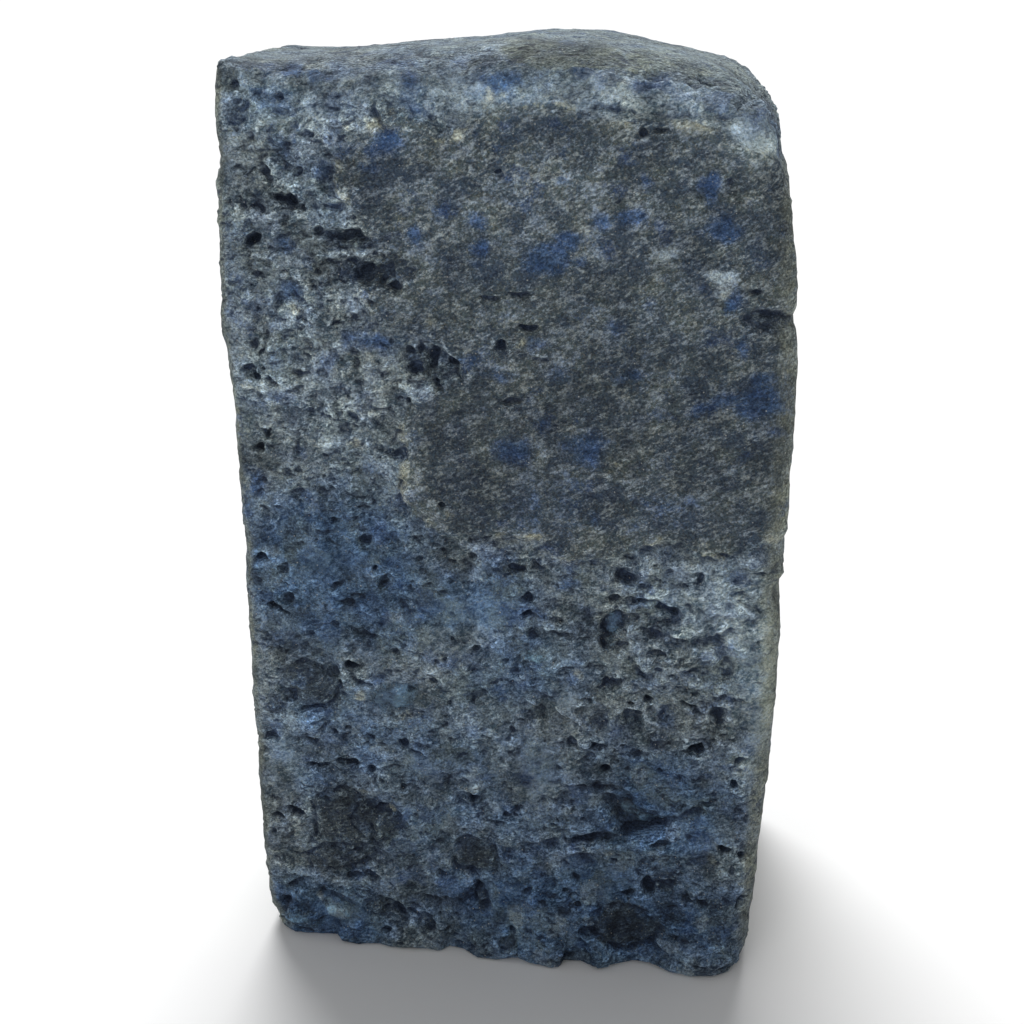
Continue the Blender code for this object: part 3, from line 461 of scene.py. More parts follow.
class GeodeTexture(bpy.types.PropertyGroup):
    """Sizes and heights of the rind's own roughness."""

    swell_size: length("Swell size", "Size of the broad swells", 14.0)
    swell_height: length("Swell height", "Height of the broad swells", 1.3)
    bump_size: length("Bump size", "Size of the rounded bumps with creases between", 6.5)
    bump_height: length("Bump height", "Height of the bumps where the rind is coarse", 1.5)
    ledge_size: length("Ledge size", "Size of the chipped ledges", 10.0)
    ledge_height: length("Ledge height", "Height of one ledge where the rind is coarse", 0.75)
    lump_size: length("Lump size", "Size of the small lumps", 2.6)
    lump_height: length("Lump height", "Height of the small lumps", 0.85)
    pore_size: length("Pore size", "Size of the largest gas pores", 3.6)
    pore_depth: length("Pore depth", "Depth of the largest gas pores", 1.0)
    middling_size: length("Middling pore size", "Size of the middling gas pores", 1.9)
    middling_depth: length("Middling pore depth", "Depth of the middling gas pores", 0.55)
    sponge_size: length("Small pore size", "Size of the small, drawn-out pores", 1.5)
    sponge_depth: length("Small pore depth", "Depth of the small pores", 0.5)
    dash_size: length("Dash size", "Size of the finest pores", 0.9)
    drift_size: length("Drift size", "Size of the broad changes of tone", 8.0)
    hue_size: length("Hue size", "Size of the changes of hue", 5.0)
    wrinkle_size: length("Wrinkle size", "Size of the wrinkles in the crust", 3.0)
    cloud_size: length("Cloud size", "Size of the clouds in the colour", 4.0)
    stain_size: length("Stain size", "Size of the scattered stains of dye", 6.0)
    chip_size: length("Chip size", "Size of the chips the rind is made of", 3.4)
    streak_size: length("Streak size", "Size of the fine streaks", 0.6)
    grain_size: length("Grain size", "Size of the single grains", 0.36)
    crystal_size: length("Crystal size", "Size of the glinting crystals", 0.36)


class GeodeColours(bpy.types.PropertyGroup):
    """Colours of the dyed rind."""

    grey_dark: tint("Grey, dark", "Dark tone of the plain rind", 0.042, 0.066, 0.085)
    grey_light: tint("Grey, light", "Light tone of the plain rind", 0.225, 0.26, 0.272)
    blue_dark: tint("Blue, dark", "Dark tone where the dye took", 0.013, 0.036, 0.08)
    blue_light: tint("Blue, light", "Light tone where the dye took", 0.088, 0.15, 0.245)
    olive: tint("Olive", "Undyed olive patches", 0.050, 0.060, 0.048)
    stain: tint("Stain", "Scattered stains of dye", 0.012, 0.034, 0.105)
    cobalt_dark: tint("Cobalt, dark", "Dark tone of the pools of dye", 0.008, 0.026, 0.07)
    cobalt: tint("Cobalt", "Light tone of the pools of dye", 0.018, 0.062, 0.175)
    crust_dark: tint("Crust, dark", "Darkest tone of the crust", 0.027, 0.042, 0.061)
    crust_olive: tint("Crust, olive", "Olive tone of the crust", 0.044, 0.058, 0.059)
    crust_brown: tint("Crust, brown", "Brown grains of the crust", 0.086, 0.079, 0.073)
    crust_light: tint("Crust, light", "Light grains of the crust", 0.15, 0.176, 0.192)
    cap_dark: tint("Cap, dark", "Dark tone of the greenish cap", 0.06, 0.077, 0.072)
    cap_light: tint("Cap, light", "Light tone of the greenish cap", 0.142, 0.168, 0.16)
    side_dark: tint("Side, dark", "Dark tone of the worn sides", 0.075, 0.088, 0.078)
    side_light: tint("Side, light", "Light tone of the worn sides", 0.16, 0.176, 0.15)
    # Pale patches, partly painted highlight on the tops of lumps
    pale: tint("Pale", "Bleached patches", 0.28, 0.34, 0.38)
    cream: tint("Cream", "Cream mineral flecks", 0.3, 0.31, 0.24)
    # Dark patches and stains, and painted shade where the dark patches cover pits
    dark: tint("Dark", "Dark patches", 0.018, 0.026, 0.036)
    dark_fleck: tint("Dark, flecks", "Light flecks in the dark patches", 0.11, 0.14, 0.15)
    facet_dark: tint("Facet, dark", "Dark tone of the smooth broken faces", 0.025, 0.045, 0.080)
    facet_light: tint("Facet, light", "Light tone of the smooth broken faces", 0.07, 0.13, 0.19)
    # Painted shade in the broad hollows
    hollow_shade: tint("Hollow", "Broad hollows", 0.014, 0.026, 0.055)
    # Painted shade inside pits and pores
    pore: tint("Pore", "Inside of pits and pores", 0.010, 0.017, 0.034)
    # Pale crystal grains, painted bright as glints
    grit_glint: tint("Grit", "Glinting crystals", 0.50, 0.50, 0.47)
    shade_dark: tint("Shade, dark", "Multiplies the colour where it drifts dark", 0.45, 0.48, 0.52)
    shade_light: tint("Shade, light", "Multiplies the colour where it drifts light", 1.50, 1.47, 1.42)
    grain_dark: tint("Grain, dark", "Multiplies the colour of the darkest grains", 0.6, 0.6, 0.62)
    grain_light: tint("Grain, light", "Multiplies the colour of the lightest grains", 1.45, 1.42, 1.4)
    bluer: tint("Bluer", "Multiplies the colour where the hue leans to blue", 0.93, 0.99, 1.08)
    greener: tint("Greener", "Multiplies the colour where the hue leans to green", 1.05, 1.04, 0.95)
    cool: tint("Cool", "Multiplies the colour of the coolest grains", 0.9, 1.0, 1.12)
    warm: tint("Warm", "Multiplies the colour of the warmest grains", 1.12, 1.02, 0.9)


class GeodeStudio(bpy.types.PropertyGroup):
    """The paper, the lights and the camera."""

    paper: tint("Paper", "Colour of the paper on the floor", 0.86, 0.86, 0.86)
    air_strength: FloatProperty(name="Air", description="Strength of the light from all round",
                                default=0.32, min=0.0)
    overhead_strength: FloatProperty(name="Overhead", description="Strength of the broad light above",
                                     default=3.6, min=0.0)
    overhead_spread: angle("Overhead spread", "How wide the broad light looks", 36)
    front_watts: FloatProperty(name="Front softbox", description="Power of the soft front light",
                               default=2.1, min=0.0, unit="POWER")
    eye: FloatVectorProperty(name="Eye", description="Where the camera stands",
                             default=[value * MM for value in SEEN_FROM], subtype="TRANSLATION",
                             unit="LENGTH")
    eye_turn: angle("Eye turn", "How far the camera is turned to the left", 9)
    eye_drop: angle("Eye drop", "How far the camera looks down", 19.5)
    lens: FloatProperty(name="Lens", description="Focal length on a 36 mm sensor", default=55.0,
                        subtype="DISTANCE_CAMERA", unit="CAMERA")


def eased(share):
    """Ease 0..1 in and out, holding it inside that range."""
    share = np.clip(share, 0.0, 1.0)
    return share * share * (3 - 2 * share)


def lumpy(points, size, seed, octaves=1):
    """Smooth random field in about -1..1 with lumps of a size, finer by half in each octave."""
    total = np.zeros(len(points))
    for octave in range(octaves):
        lattice = np.random.default_rng(seed + octave).uniform(-1.0, 1.0, (FIELD_REPEAT,) * 3)
        cells = points * (2**octave / size)
        whole = np.floor(cells).astype(int)
        part = eased(cells - whole)
        for corner in np.ndindex(2, 2, 2):
            share = np.prod(np.where(corner, part, 1 - part), axis=1)
            x, y, z = ((whole + corner) % FIELD_REPEAT).T
            total += 0.5**octave * share * lattice[x, y, z]
    return total


def side_at(table, places):
    """Read a (place, value) table at many places."""
    return np.interp(places, *zip(*table))


def round_corner(a, b, half_a, half_b, round_a, round_b):
    """Round the corners of a rectangle, given signed coordinates and the rounding at each point."""
    core_a = np.clip(a, round_a - half_a, half_a - round_a)
    core_b = np.clip(b, round_b - half_b, half_b - round_b)
    off_a = (a - core_a) / round_a
    off_b = (b - core_b) / round_b
    away = np.hypot(off_a, off_b)
    keep = np.divide(np.maximum(abs(off_a), abs(off_b)), away, out=np.ones_like(away), where=away > 0)
    return core_a + off_a * keep * round_a, core_b + off_b * keep * round_b


def worn_shape(box, sizes):
    """Take points of the plain box (-1..1 across and deep, 0..1 up) to the worn block, in mm."""
    half_width = sizes.width / MM / 2
    half_depth = sizes.depth / MM / 2
    height = sizes.height / MM
    half_height = height / 2
    x, y, z = box[:, 0] * half_width, box[:, 1] * half_depth, box[:, 2] * height
    left, front, upper = x < 0, y < 0, z > half_height
    foot_round = sizes.foot_round / MM
    back_round = sizes.back_round / MM

    round_y = np.where(upper, np.where(front, side_at(TOP_FRONT_DEEP, x), back_round), foot_round)
    round_z = np.where(upper, np.where(front, side_at(TOP_FRONT_DROP, x), back_round), foot_round)
    y, level = round_corner(y, z - half_height, half_depth, half_height, round_y, round_z)
    top_round = np.where(left, sizes.top_left_round / MM, sizes.top_right_round / MM)
    round_x = np.where(upper, top_round, foot_round)
    x, level = round_corner(x, level, half_width, half_height, round_x, round_x)
    round_x = np.where(left, sizes.left_round / MM, sizes.right_round / MM)
    round_y = np.where(front, sizes.front_round / MM, back_round)
    x, y = round_corner(x, y, half_width, half_depth, round_x, round_y)
    z = level + half_height

    left_shift = side_at(LEFT_SIDE, z) + half_width
    right_shift = side_at(RIGHT_SIDE, z) - half_width
    x = x + np.where(left, left_shift, right_shift) * eased(abs(x) / half_width)
    crown = side_at(CROWN, x) - height - sizes.crown_fall / MM * eased((y - 5) / half_depth)
    z = z + crown * (z / height) ** 6
    forward = side_at(FOOT_LINE, x) * eased(1 - z * MM / sizes.foot_high)
    y = y - forward * eased(-y / half_depth)
    return np.column_stack((x, y + sizes.set_back / MM, z))


def seen_place(points):
    """Where each point falls on the plane of the front, seen from where the lists were laid out."""
    ray = points - np.array(SEEN_FROM)
    reach = (FRONT - SEEN_FROM[1]) / ray[:, 1]
    return SEEN_FROM[0] + ray[:, 0] * reach, SEEN_FROM[2] + ray[:, 2] * reach


def spot_reach(x, z, spot):
    """Distance from the middle of a turned oval, 1 at its rim."""
    centre_x, centre_z, half_w, half_h, turn = spot[:5]
    cos, sin = math.cos(math.radians(turn)), math.sin(math.radians(turn))
    across = (x - centre_x) * cos + (z - centre_z) * sin
    up = (z - centre_z) * cos - (x - centre_x) * sin
    return np.hypot(across / half_w, up / half_h)


def near(x, z, spot, margin):
    """Indices of the points within reach of a spot."""
    reach = max(spot[2], spot[3]) * margin
    return np.flatnonzero((abs(x - spot[0]) < reach) & (abs(z - spot[1]) < reach))


def spot_mask(x, z, spots):
    """How strongly a place is inside any of the spots, fading out a little beyond the rim."""
    mask = np.zeros(len(x))
    for spot in spots:
        here = near(x, z, spot, SPOT_FADE)
        inside = np.clip(SPOT_FADE - spot_reach(x[here], z[here], spot), 0.0, 1.0) * spot[5]
        mask[here] = np.maximum(mask[here], inside)
    return mask


def line_distance(x, z, outline):
    """Distance of every point from a line through the outline's points."""
    places = np.array(outline, float)
    distance = np.full(len(x), np.inf)
    for start, end in zip(places, places[1:]):
        run = end - start
        share = np.clip(((x - start[0]) * run[0] + (z - start[1]) * run[1]) / (run @ run), 0.0, 1.0)
        gap = np.hypot(x - start[0] - share * run[0], z - start[1] - share * run[1])
        distance = np.minimum(distance, gap)
    return distance


def inside_depth(x, z, outline):
    """Distance in from the rim of a closed outline, negative outside it."""
    closed = (*outline, outline[0])
    inside = np.zeros(len(x), bool)
    for (x0, z0), (x1, z1) in zip(closed, closed[1:]):
        if z0 != z1:
            crosses = (z > min(z0, z1)) & (z <= max(z0, z1))
            inside ^= crosses & (x < x0 + (z - z0) * (x1 - x0) / (z1 - z0))
    distance = line_distance(x, z, closed)
    return np.where(inside, distance, -distance)


def pit_relief(x, z):
    """Steep-walled pits with ragged rims."""
    relief = np.zeros(len(x))
    ragged = 0.35 * lumpy(np.column_stack((x, x * 0, z)), 1.4, PIT_SEED, 2)
    for pit in PITS:
        here = near(x, z, pit, 1.8)
        reach = spot_reach(x[here], z[here], pit) + ragged[here]
        hole = -pit[5] * (1 - eased((reach - 0.45) / 0.65))
        relief[here] = np.minimum(relief[here], hole)
    return relief


def rim_relief(x, z):
    """A narrow groove round every strong dark patch, inclusions and painted pit shade alike."""
    relief = np.zeros(len(x))
    for spot in DARK_AND_PIT_SHADE:
        if spot[5] >= RIM_GROOVE_FROM:
            here = near(x, z, spot, 1.6)
            off_rim = (spot_reach(x[here], z[here], spot) - 1.0) * min(spot[2], spot[3])
            groove = -RIM_GROOVE_DEPTH * np.exp(-((off_rim / RIM_GROOVE_WIDTH) ** 2))
            relief[here] = np.minimum(relief[here], groove)
    return relief


def crease_relief(x, z):
    """Cracks and ledge lines: a soft groove along each line, deeper here and shallower there."""
    relief = np.zeros(len(x))
    for width, depth, points in CREASES:
        distance = line_distance(x, z, points)
        relief = np.minimum(relief, -depth * np.exp(-((distance / width / 1.6) ** 2)))
    patchy = 0.6 + 0.6 * lumpy(np.column_stack((x, x * 0, z)), WANDER_SIZE, CREASE_SEED, 2)
    return relief * np.clip(patchy, 0.1, 1.0)


def lump_relief(x, z):
    """Rounded lumps with steep shoulders."""
    relief = np.zeros(len(x))
    for lump in LUMPS:
        here = near(x, z, lump, 1.0)
        reach = np.clip(spot_reach(x[here], z[here], lump), 0.0, 1.0)
        relief[here] = np.maximum(relief[here], lump[5] * (1 - reach**2) ** 0.8)
    return relief


def tone_and_crown_light(x, z):
    """How much lighter or darker than usual each place is, with painted light along the crown."""
    tone = np.zeros(len(x))
    for spot in TONES_AND_CROWN_LIGHT:
        tone += spot[5] * eased(SPOT_FADE - spot_reach(x, z, spot))
    return tone


def front_fields(places, sizes):
    """Relief of the front in mm and its masks, all from the lists above, with ragged rims."""
    x, z = seen_place(places)
    x = x + lumpy(places, WANDER_SIZE, WANDER_ACROSS_SEED, 4) * WANDER_ACROSS
    z = z + lumpy(places, WANDER_SIZE, WANDER_UP_SEED, 4) * WANDER_UP
    crust_depth = inside_depth(x, z, CRUST_OUTLINE)
    crust = eased((crust_depth + 0.6) / 1.2)
    relief = sizes.crust_rise / MM * eased((crust_depth + 1.0) / 2.0)
    relief -= sizes.recess_depth / MM * eased((inside_depth(x, z, RECESS_OUTLINE) + 0.4) / 2.6)
    relief += lump_relief(x, z) + pit_relief(x, z) + rim_relief(x, z) + crease_relief(x, z)
    masks = {
        "crust": crust,
        "cap": eased((inside_depth(x, z, CAP_OUTLINE) + 0.4) / 0.8),
        "coarse": np.maximum(spot_mask(x, z, COARSE_ZONES), 0.35) * (1 - 0.7 * crust),
        "tone": tone_and_crown_light(x, z),
        "rim": eased(1 - abs(crust_depth) / 1.6),
    }
    return relief, masks | {name: spot_mask(x, z, listed) for name, listed in SPOTS.items()}


def other_fields(places, outward):
    """Masks of the sides, the back and the top, where nothing is listed."""
    back = eased((outward[:, 1] - 0.3) / 0.5)
    top = eased((outward[:, 2] - 0.3) / 0.4)
    crust_edge = lumpy(places, 38.0, CRUST_SEED, 3) - 0.15
    return dict.fromkeys(SPOTS, np.zeros(len(places))) | {
        "crust": eased(crust_edge / 0.1 + 0.5) * back,
        "rim": eased(1 - abs(crust_edge) / 0.1) * back,
        "cap": 0.45 * top,
        # Lighter where the surface faces up: painted light from above
        "tone": 0.35 * top,
        "coarse": 0.25 + 0.45 * eased(0.5 + lumpy(places, 30.0, COARSE_SEED, 2)) * back,
        "blue": 0.75 * eased(0.35 + lumpy(places, 24.0, BLUE_SEED, 3)) * (1 - 0.7 * top),
    }


class Graph:
    """A node tree with short ways to add the nodes used here."""

    def __init__(self, tree):
        self.tree = tree

    def feed(self, socket, value):
        """Link a socket to another, or set its own value."""
        if isinstance(value, bpy.types.NodeSocket):
            self.tree.links.new(value, socket)
        else:
            socket.default_value = value

    def node(self, kind, inputs=None, **settings):
        """Add a node, change its settings and feed its inputs."""
        node = self.tree.nodes.new(kind)
        for name, value in settings.items():
            setattr(node, name, value)
        for name, value in (inputs or {}).items():
            self.feed(node.inputs[name], value)
        return node

    def math(self, operation, first, second=0.0):
        """Work out one number from two."""
        return self.node("ShaderNodeMath", {0: first, 1: second}, operation=operation).outputs[0]

    def times(self, *values):
        """Multiply numbers together."""
        total = values[0]
        for value in values[1:]:
            total = self.math("MULTIPLY", total, value)
        return total

    def plus(self, *values):
        """Add numbers together."""
        total = values[0]
        for value in values[1:]:
            total = self.math("ADD", total, value)
        return total

    def vector(self, operation, first, second):
        """Work out one vector from two."""
        return self.node("ShaderNodeVectorMath", {0: first, 1: second}, operation=operation).outputs[0]

    def fade(self, value, low, high, to_low=0.0, to_high=1.0):
        """Ease from one value to another as a number goes from low to high."""
        inputs = {"Value": value, "From Min": low, "From Max": high, "To Min": to_low, "To Max": to_high}
        return self.node("ShaderNodeMapRange", inputs, interpolation_type="SMOOTHSTEP").outputs["Result"]

    def noise(self, place, size, detail=2.0, rough=0.5, twist=0.0, colour=False):
        """Cloudy noise with lumps of a size in metres, curled up by a twist."""
        look = {"Scale": 1 / size, "Detail": detail, "Roughness": rough, "Distortion": twist}
        return self.node("ShaderNodeTexNoise", {"Vector": place} | look).outputs["Color" if colour else 0]

    def cells(self, place, size):
        """Random cells of a size in metres: the distance from a cell's middle, and its three lots."""
        cell = self.node("ShaderNodeTexVoronoi", {"Vector": place, "Scale": 1 / size})
        return cell.outputs["Distance"], self.parts(cell.outputs["Color"])

    def parts(self, vector):
        """The three numbers of a vector or a colour."""
        return self.node("ShaderNodeSeparateXYZ", {0: vector}).outputs[:]

    def mix(self, share, first, second, blend="MIX"):
        """Blend two colours."""
        inputs = {0: share, 6: first, 7: second}
        return self.node("ShaderNodeMix", inputs, data_type="RGBA", blend_type=blend).outputs[2]

    def field(self, name, kind="FLOAT"):
        """Read a field kept on the mesh, inside Geometry Nodes."""
        node = self.node("GeometryNodeInputNamedAttribute", {"Name": name}, data_type=kind)
        return node.outputs["Attribute"]

    def stretched(self, place, across, up):
        """Draw a pattern out across or up by these factors."""
        return self.vector("MULTIPLY", place, (1 / across, 1.0, 1 / up))

    def wandering(self, place, size, reach):
        """Shift a place about at random, so that what is drawn on it has ragged edges."""
        drift = self.noise(place, size, 3.0, 0.6, colour=True)
        shift = self.vector("MULTIPLY", self.vector("SUBTRACT", drift, (0.5,) * 3), (reach,) * 3)
        return self.vector("ADD", place, shift)


def vesicles(graph, place, size, share, wide):
    """Gas pores left in the rind: 1 inside a pore. Only a share of the cells holds one."""
    ragged = graph.stretched(graph.wandering(place, size, size * 0.5), 1.45, 0.9)
    distance, (lot, _, _) = graph.cells(ragged, size)
    radius = graph.fade(lot, 1.0 - share, 1.0, 0.0, wide)
    return graph.fade(graph.math("SUBTRACT", radius, distance), 0.0, 0.1)


def sponge(graph, place, size, detail):
    """Curled noise drawn out sideways, whose low places are the small pores of the rind."""
    return graph.noise(graph.stretched(place, 1.6, 0.85), size, detail, 0.55, 0.6)


def crumple(graph, place, size, steps):
    """Rounded bumps with sharp creases between them, finer by half at each step: 0 in a crease, up to 1."""
    total, weight = 0.0, 0.5
    for step in range(steps):
        wave = graph.noise(graph.vector("ADD", place, (step * size,) * 3), size / 2**step, 0.0)
        crease = graph.math("ABSOLUTE", graph.times(graph.math("SUBTRACT", wave, 0.5), 5.0))
        total = graph.plus(total, graph.times(graph.math("MINIMUM", crease, 1.0), weight))
        weight *= 0.55
    return total


def keep_in_nodes(graph, geometry, name, value):
    """Store a number on every vertex from Geometry Nodes."""
    inputs = {"Geometry": geometry, "Name": name, "Value": value}
    node = graph.node("GeometryNodeStoreNamedAttribute", inputs, data_type="FLOAT", domain="POINT")
    return node.outputs[0]


def above_around(graph, relief, steps):
    """How far a place stands above its surroundings, in mm."""
    inputs = {"Value": relief, "Iterations": steps}
    blurred = graph.node("GeometryNodeBlurAttribute", inputs, data_type="FLOAT").outputs["Value"]
    return graph.times(graph.math("SUBTRACT", relief, blurred), 1 / MM)


def roughening_nodes(texture):
    """Geometry Nodes that push the block out and in: the listed relief, bumps, ledges, lumps and pores."""
    tree = bpy.data.node_groups.new("roughen_rind", "GeometryNodeTree")
    tree.interface.new_socket("Geometry", in_out="INPUT", socket_type="NodeSocketGeometry")
    tree.interface.new_socket("Geometry", in_out="OUTPUT", socket_type="NodeSocketGeometry")
    graph = Graph(tree)
    place = graph.field("place", "FLOAT_VECTOR")
    coarse = graph.field("coarse")
    roughening = graph.field("roughening")
    open_rind = graph.math("SUBTRACT", 1.0, graph.times(graph.field("crust"), 0.7))
    unworn = graph.math("SUBTRACT", 1.0, graph.field("smooth"))
    zone = graph.fade(graph.noise(place, 16 * MM), 0.38, 0.62, 0.3, 1.0)

    swell = graph.fade(graph.noise(place, texture.swell_size, 3.0), 0.2, 0.8, -0.5, 0.5)
    ragged = graph.wandering(place, 5 * MM, 2 * MM)
    bump = graph.math("SUBTRACT", crumple(graph, ragged, texture.bump_size, 3), 0.42)
    steps = graph.times(graph.noise(graph.stretched(place, 1.3, 0.9), texture.ledge_size, 5.0, 0.62), 8.0)
    ledge = graph.plus(graph.math("FLOOR", steps), graph.fade(graph.math("FRACT", steps), 0.25, 0.6), -4.0)
    lump = graph.fade(graph.noise(place, texture.lump_size, 6.0, 0.7), 0.25, 0.75, -0.5, 0.5)
    large = graph.times(vesicles(graph, place, texture.pore_size, 0.05, 0.42), texture.pore_depth)
    middling = vesicles(graph, place, texture.middling_size, 0.10, 0.36)
    middling = graph.times(middling, texture.middling_depth)
    pore = graph.times(graph.math("MAXIMUM", large, middling), open_rind, zone, roughening, unworn)
    small = graph.fade(sponge(graph, place, texture.sponge_size, 2.0), 0.45, 0.30)

    own = graph.plus(
        graph.times(swell, texture.swell_height),
        graph.times(bump, coarse, texture.bump_height),
        graph.times(ledge, graph.plus(graph.times(coarse, 0.8), 0.2), texture.ledge_height),
        graph.times(lump, graph.plus(graph.times(open_rind, unworn, 0.47), 0.53), texture.lump_height),
        graph.times(small, open_rind, unworn, -texture.sponge_depth),
    )
    relief = graph.plus(graph.field("relief"), graph.times(own, roughening), graph.times(pore, -1.0))
    push = {0: graph.field("outward", "FLOAT_VECTOR"), "Scale": relief}
    offset = graph.node("ShaderNodeVectorMath", push, operation="SCALE").outputs[0]

    stained = graph.noise(graph.stretched(place, 1.2, 1.0), texture.stain_size, 5.0, 0.65)
    mosaic = graph.wandering(place, texture.chip_size * 0.7, texture.chip_size * 0.9)
    chips = graph.cells(mosaic, texture.chip_size)[1]

    geometry = graph.node("NodeGroupInput").outputs[0]
    geometry = keep_in_nodes(graph, geometry, "porous", graph.times(zone, unworn))
    geometry = keep_in_nodes(graph, geometry, "stained", stained)
    for name, chip in zip(("chip", "chip_hue", "chip_tone"), chips):
        geometry = keep_in_nodes(graph, geometry, name, chip)
    geometry = keep_in_nodes(graph, geometry, "pore", graph.times(pore, 1 / MM))
    # How far each place stands above or below its surroundings, near and broad: the rind's colour paints
    # shade below and highlights above from these
    geometry = keep_in_nodes(graph, geometry, "raised", above_around(graph, relief, 12))
    geometry = keep_in_nodes(graph, geometry, "high", above_around(graph, relief, 90))
    moved = graph.node("GeometryNodeSetPosition", {"Geometry": geometry, "Offset": offset})
    graph.node("NodeGroupOutput", {0: moved.outputs[0]})
    return tree


class RindPatterns:
    """The patterns that the rind's colour, gloss and bump are drawn from."""

    def __init__(self, graph, texture):
        self.graph = graph
        self.hue_size = texture.hue_size
        place = self.place = graph.node("ShaderNodeTexCoord").outputs["Object"]
        before = graph.node("ShaderNodeAttribute", attribute_name="place").outputs["Vector"]
        self.cloud = graph.noise(place, texture.cloud_size, 5.0, 0.68)
        self.drift = graph.noise(place, texture.drift_size, 4.0, 0.6)
        self.pitted = sponge(graph, before, texture.sponge_size, 3.0)
        self.dashes = sponge(graph, place, texture.dash_size, 2.0)
        leaning = {"Vector": place, "Angle": SLANT}
        slanting = graph.node("ShaderNodeVectorRotate", leaning, rotation_type="Y_AXIS").outputs[0]
        self.streak = graph.noise(graph.stretched(slanting, 1.6, 0.8), texture.streak_size, 2.5, 0.7)
        grains = graph.noise(place, texture.grain_size, 1.5, 0.75, colour=True)
        self.fleck, self.second, self.third = graph.parts(grains)
        self.stained = graph.plus(self.read("stained"), graph.fade(self.fleck, 0.3, 0.7, -0.03, 0.03))
        self.tone = self.blend_of(self.cloud, 0.4, self.streak, 0.45, self.fleck, 0.15)
        self.wrinkle = crumple(graph, graph.stretched(slanting, 1.5, 0.85), texture.wrinkle_size, 3)
        self.crust_tone = self.blend_of(self.wrinkle, 0.14, self.streak, 0.60, self.cloud, 0.26)
        wobble = self.blend_of(self.cloud, 0.75, self.fleck, 0.25)
        self.ragged = graph.fade(wobble, 0.3, 0.7, -0.4, 0.4)

    def blend_of(self, *pairs):
        """Add patterns up by their shares."""
        shares = (self.graph.times(*pair) for pair in zip(pairs[::2], pairs[1::2]))
        return self.graph.plus(*shares)

    def read(self, name):
        """Read a field kept on the mesh."""
        return self.graph.node("ShaderNodeAttribute", attribute_name=name).outputs["Fac"]

    def patch(self, name, low, high, amount=1.0):
        """A listed mask with its rim broken up."""
        broken = self.graph.plus(self.read(name), self.ragged)
        return self.graph.times(self.graph.fade(broken, low, high), amount)


def open_rind_colour(rind, colours):
    """The pitted matrix: grey, or blue where the dye took, in chips of mixed hue."""
    graph = rind.graph
    blue = graph.fade(rind.blend_of(rind.read("blue"), 1.0, rind.drift, 2.0), 0.7, 1.9)
    dark = graph.mix(blue, colours.grey_dark, colours.blue_dark)
    light = graph.mix(blue, colours.grey_light, colours.blue_light)
    colour = graph.mix(graph.fade(rind.tone, 0.38, 0.60), dark, light)
    olive = graph.fade(rind.blend_of(rind.drift, 1.0, rind.read("chip"), 0.15), 0.54, 0.74, 0.0, 0.5)
    colour = graph.mix(olive, colour, colours.olive)
    hue = rind.read("chip_hue")
    colour = graph.mix(graph.fade(hue, 0.80, 0.95, 0.0, 0.3), colour, colours.stain)
    return graph.mix(graph.fade(hue, 0.20, 0.05, 0.0, 0.2), colour, colours.pale)


def crust_colour(rind, colours):
    """The brown crust, with an olive cast and lighter streaks."""
    graph = rind.graph
    hue = rind.blend_of(rind.drift, 0.5, rind.cloud, 0.5)
    hue = graph.mix(graph.fade(hue, 0.40, 0.60), colours.crust_dark, colours.crust_olive)
    hue = graph.mix(graph.fade(rind.third, 0.45, 0.65, 0.0, 0.2), hue, colours.crust_brown)
    return graph.mix(graph.fade(rind.crust_tone, 0.45, 0.62), hue, colours.crust_light)


def patched_colour(rind, colours, colour):
    """Lay the listed patches over a colour: cap, pale, dark, cobalt, cream and the broken faces; the pale
    is partly painted highlight on lumps, the dark partly painted shade in pits.
    """
    graph = rind.graph
    cap = graph.mix(graph.fade(rind.tone, 0.36, 0.62), colours.cap_dark, colours.cap_light)
    colour = graph.mix(rind.patch("cap", 0.2, 0.8, 0.85), colour, cap)
    # Pale chips, and painted highlight on the tops of lumps
    colour = graph.mix(rind.patch("pale", 0.35, 1.0, 0.75), colour, colours.pale)
    dark = graph.mix(graph.fade(rind.crust_tone, 0.48, 0.72), colours.dark, colours.dark_fleck)
    # Dark inclusions, and painted shade in pits
    colour = graph.mix(rind.patch("dark", 0.3, 0.6, 0.85), colour, dark)
    cobalt = graph.mix(graph.fade(rind.crust_tone, 0.38, 0.68), colours.cobalt_dark, colours.cobalt)
    colour = graph.mix(rind.patch("cobalt", -0.05, 0.9, 0.75), colour, cobalt)
    broken = graph.times(graph.fade(rind.cloud, 0.5, 0.62), graph.fade(rind.drift, 0.45, 0.55))
    colour = graph.mix(graph.times(rind.read("rim"), broken, 0.4), colour, colours.cream)
    return graph.mix(rind.patch("cream", 0.35, 1.2, 0.6), colour, colours.cream)


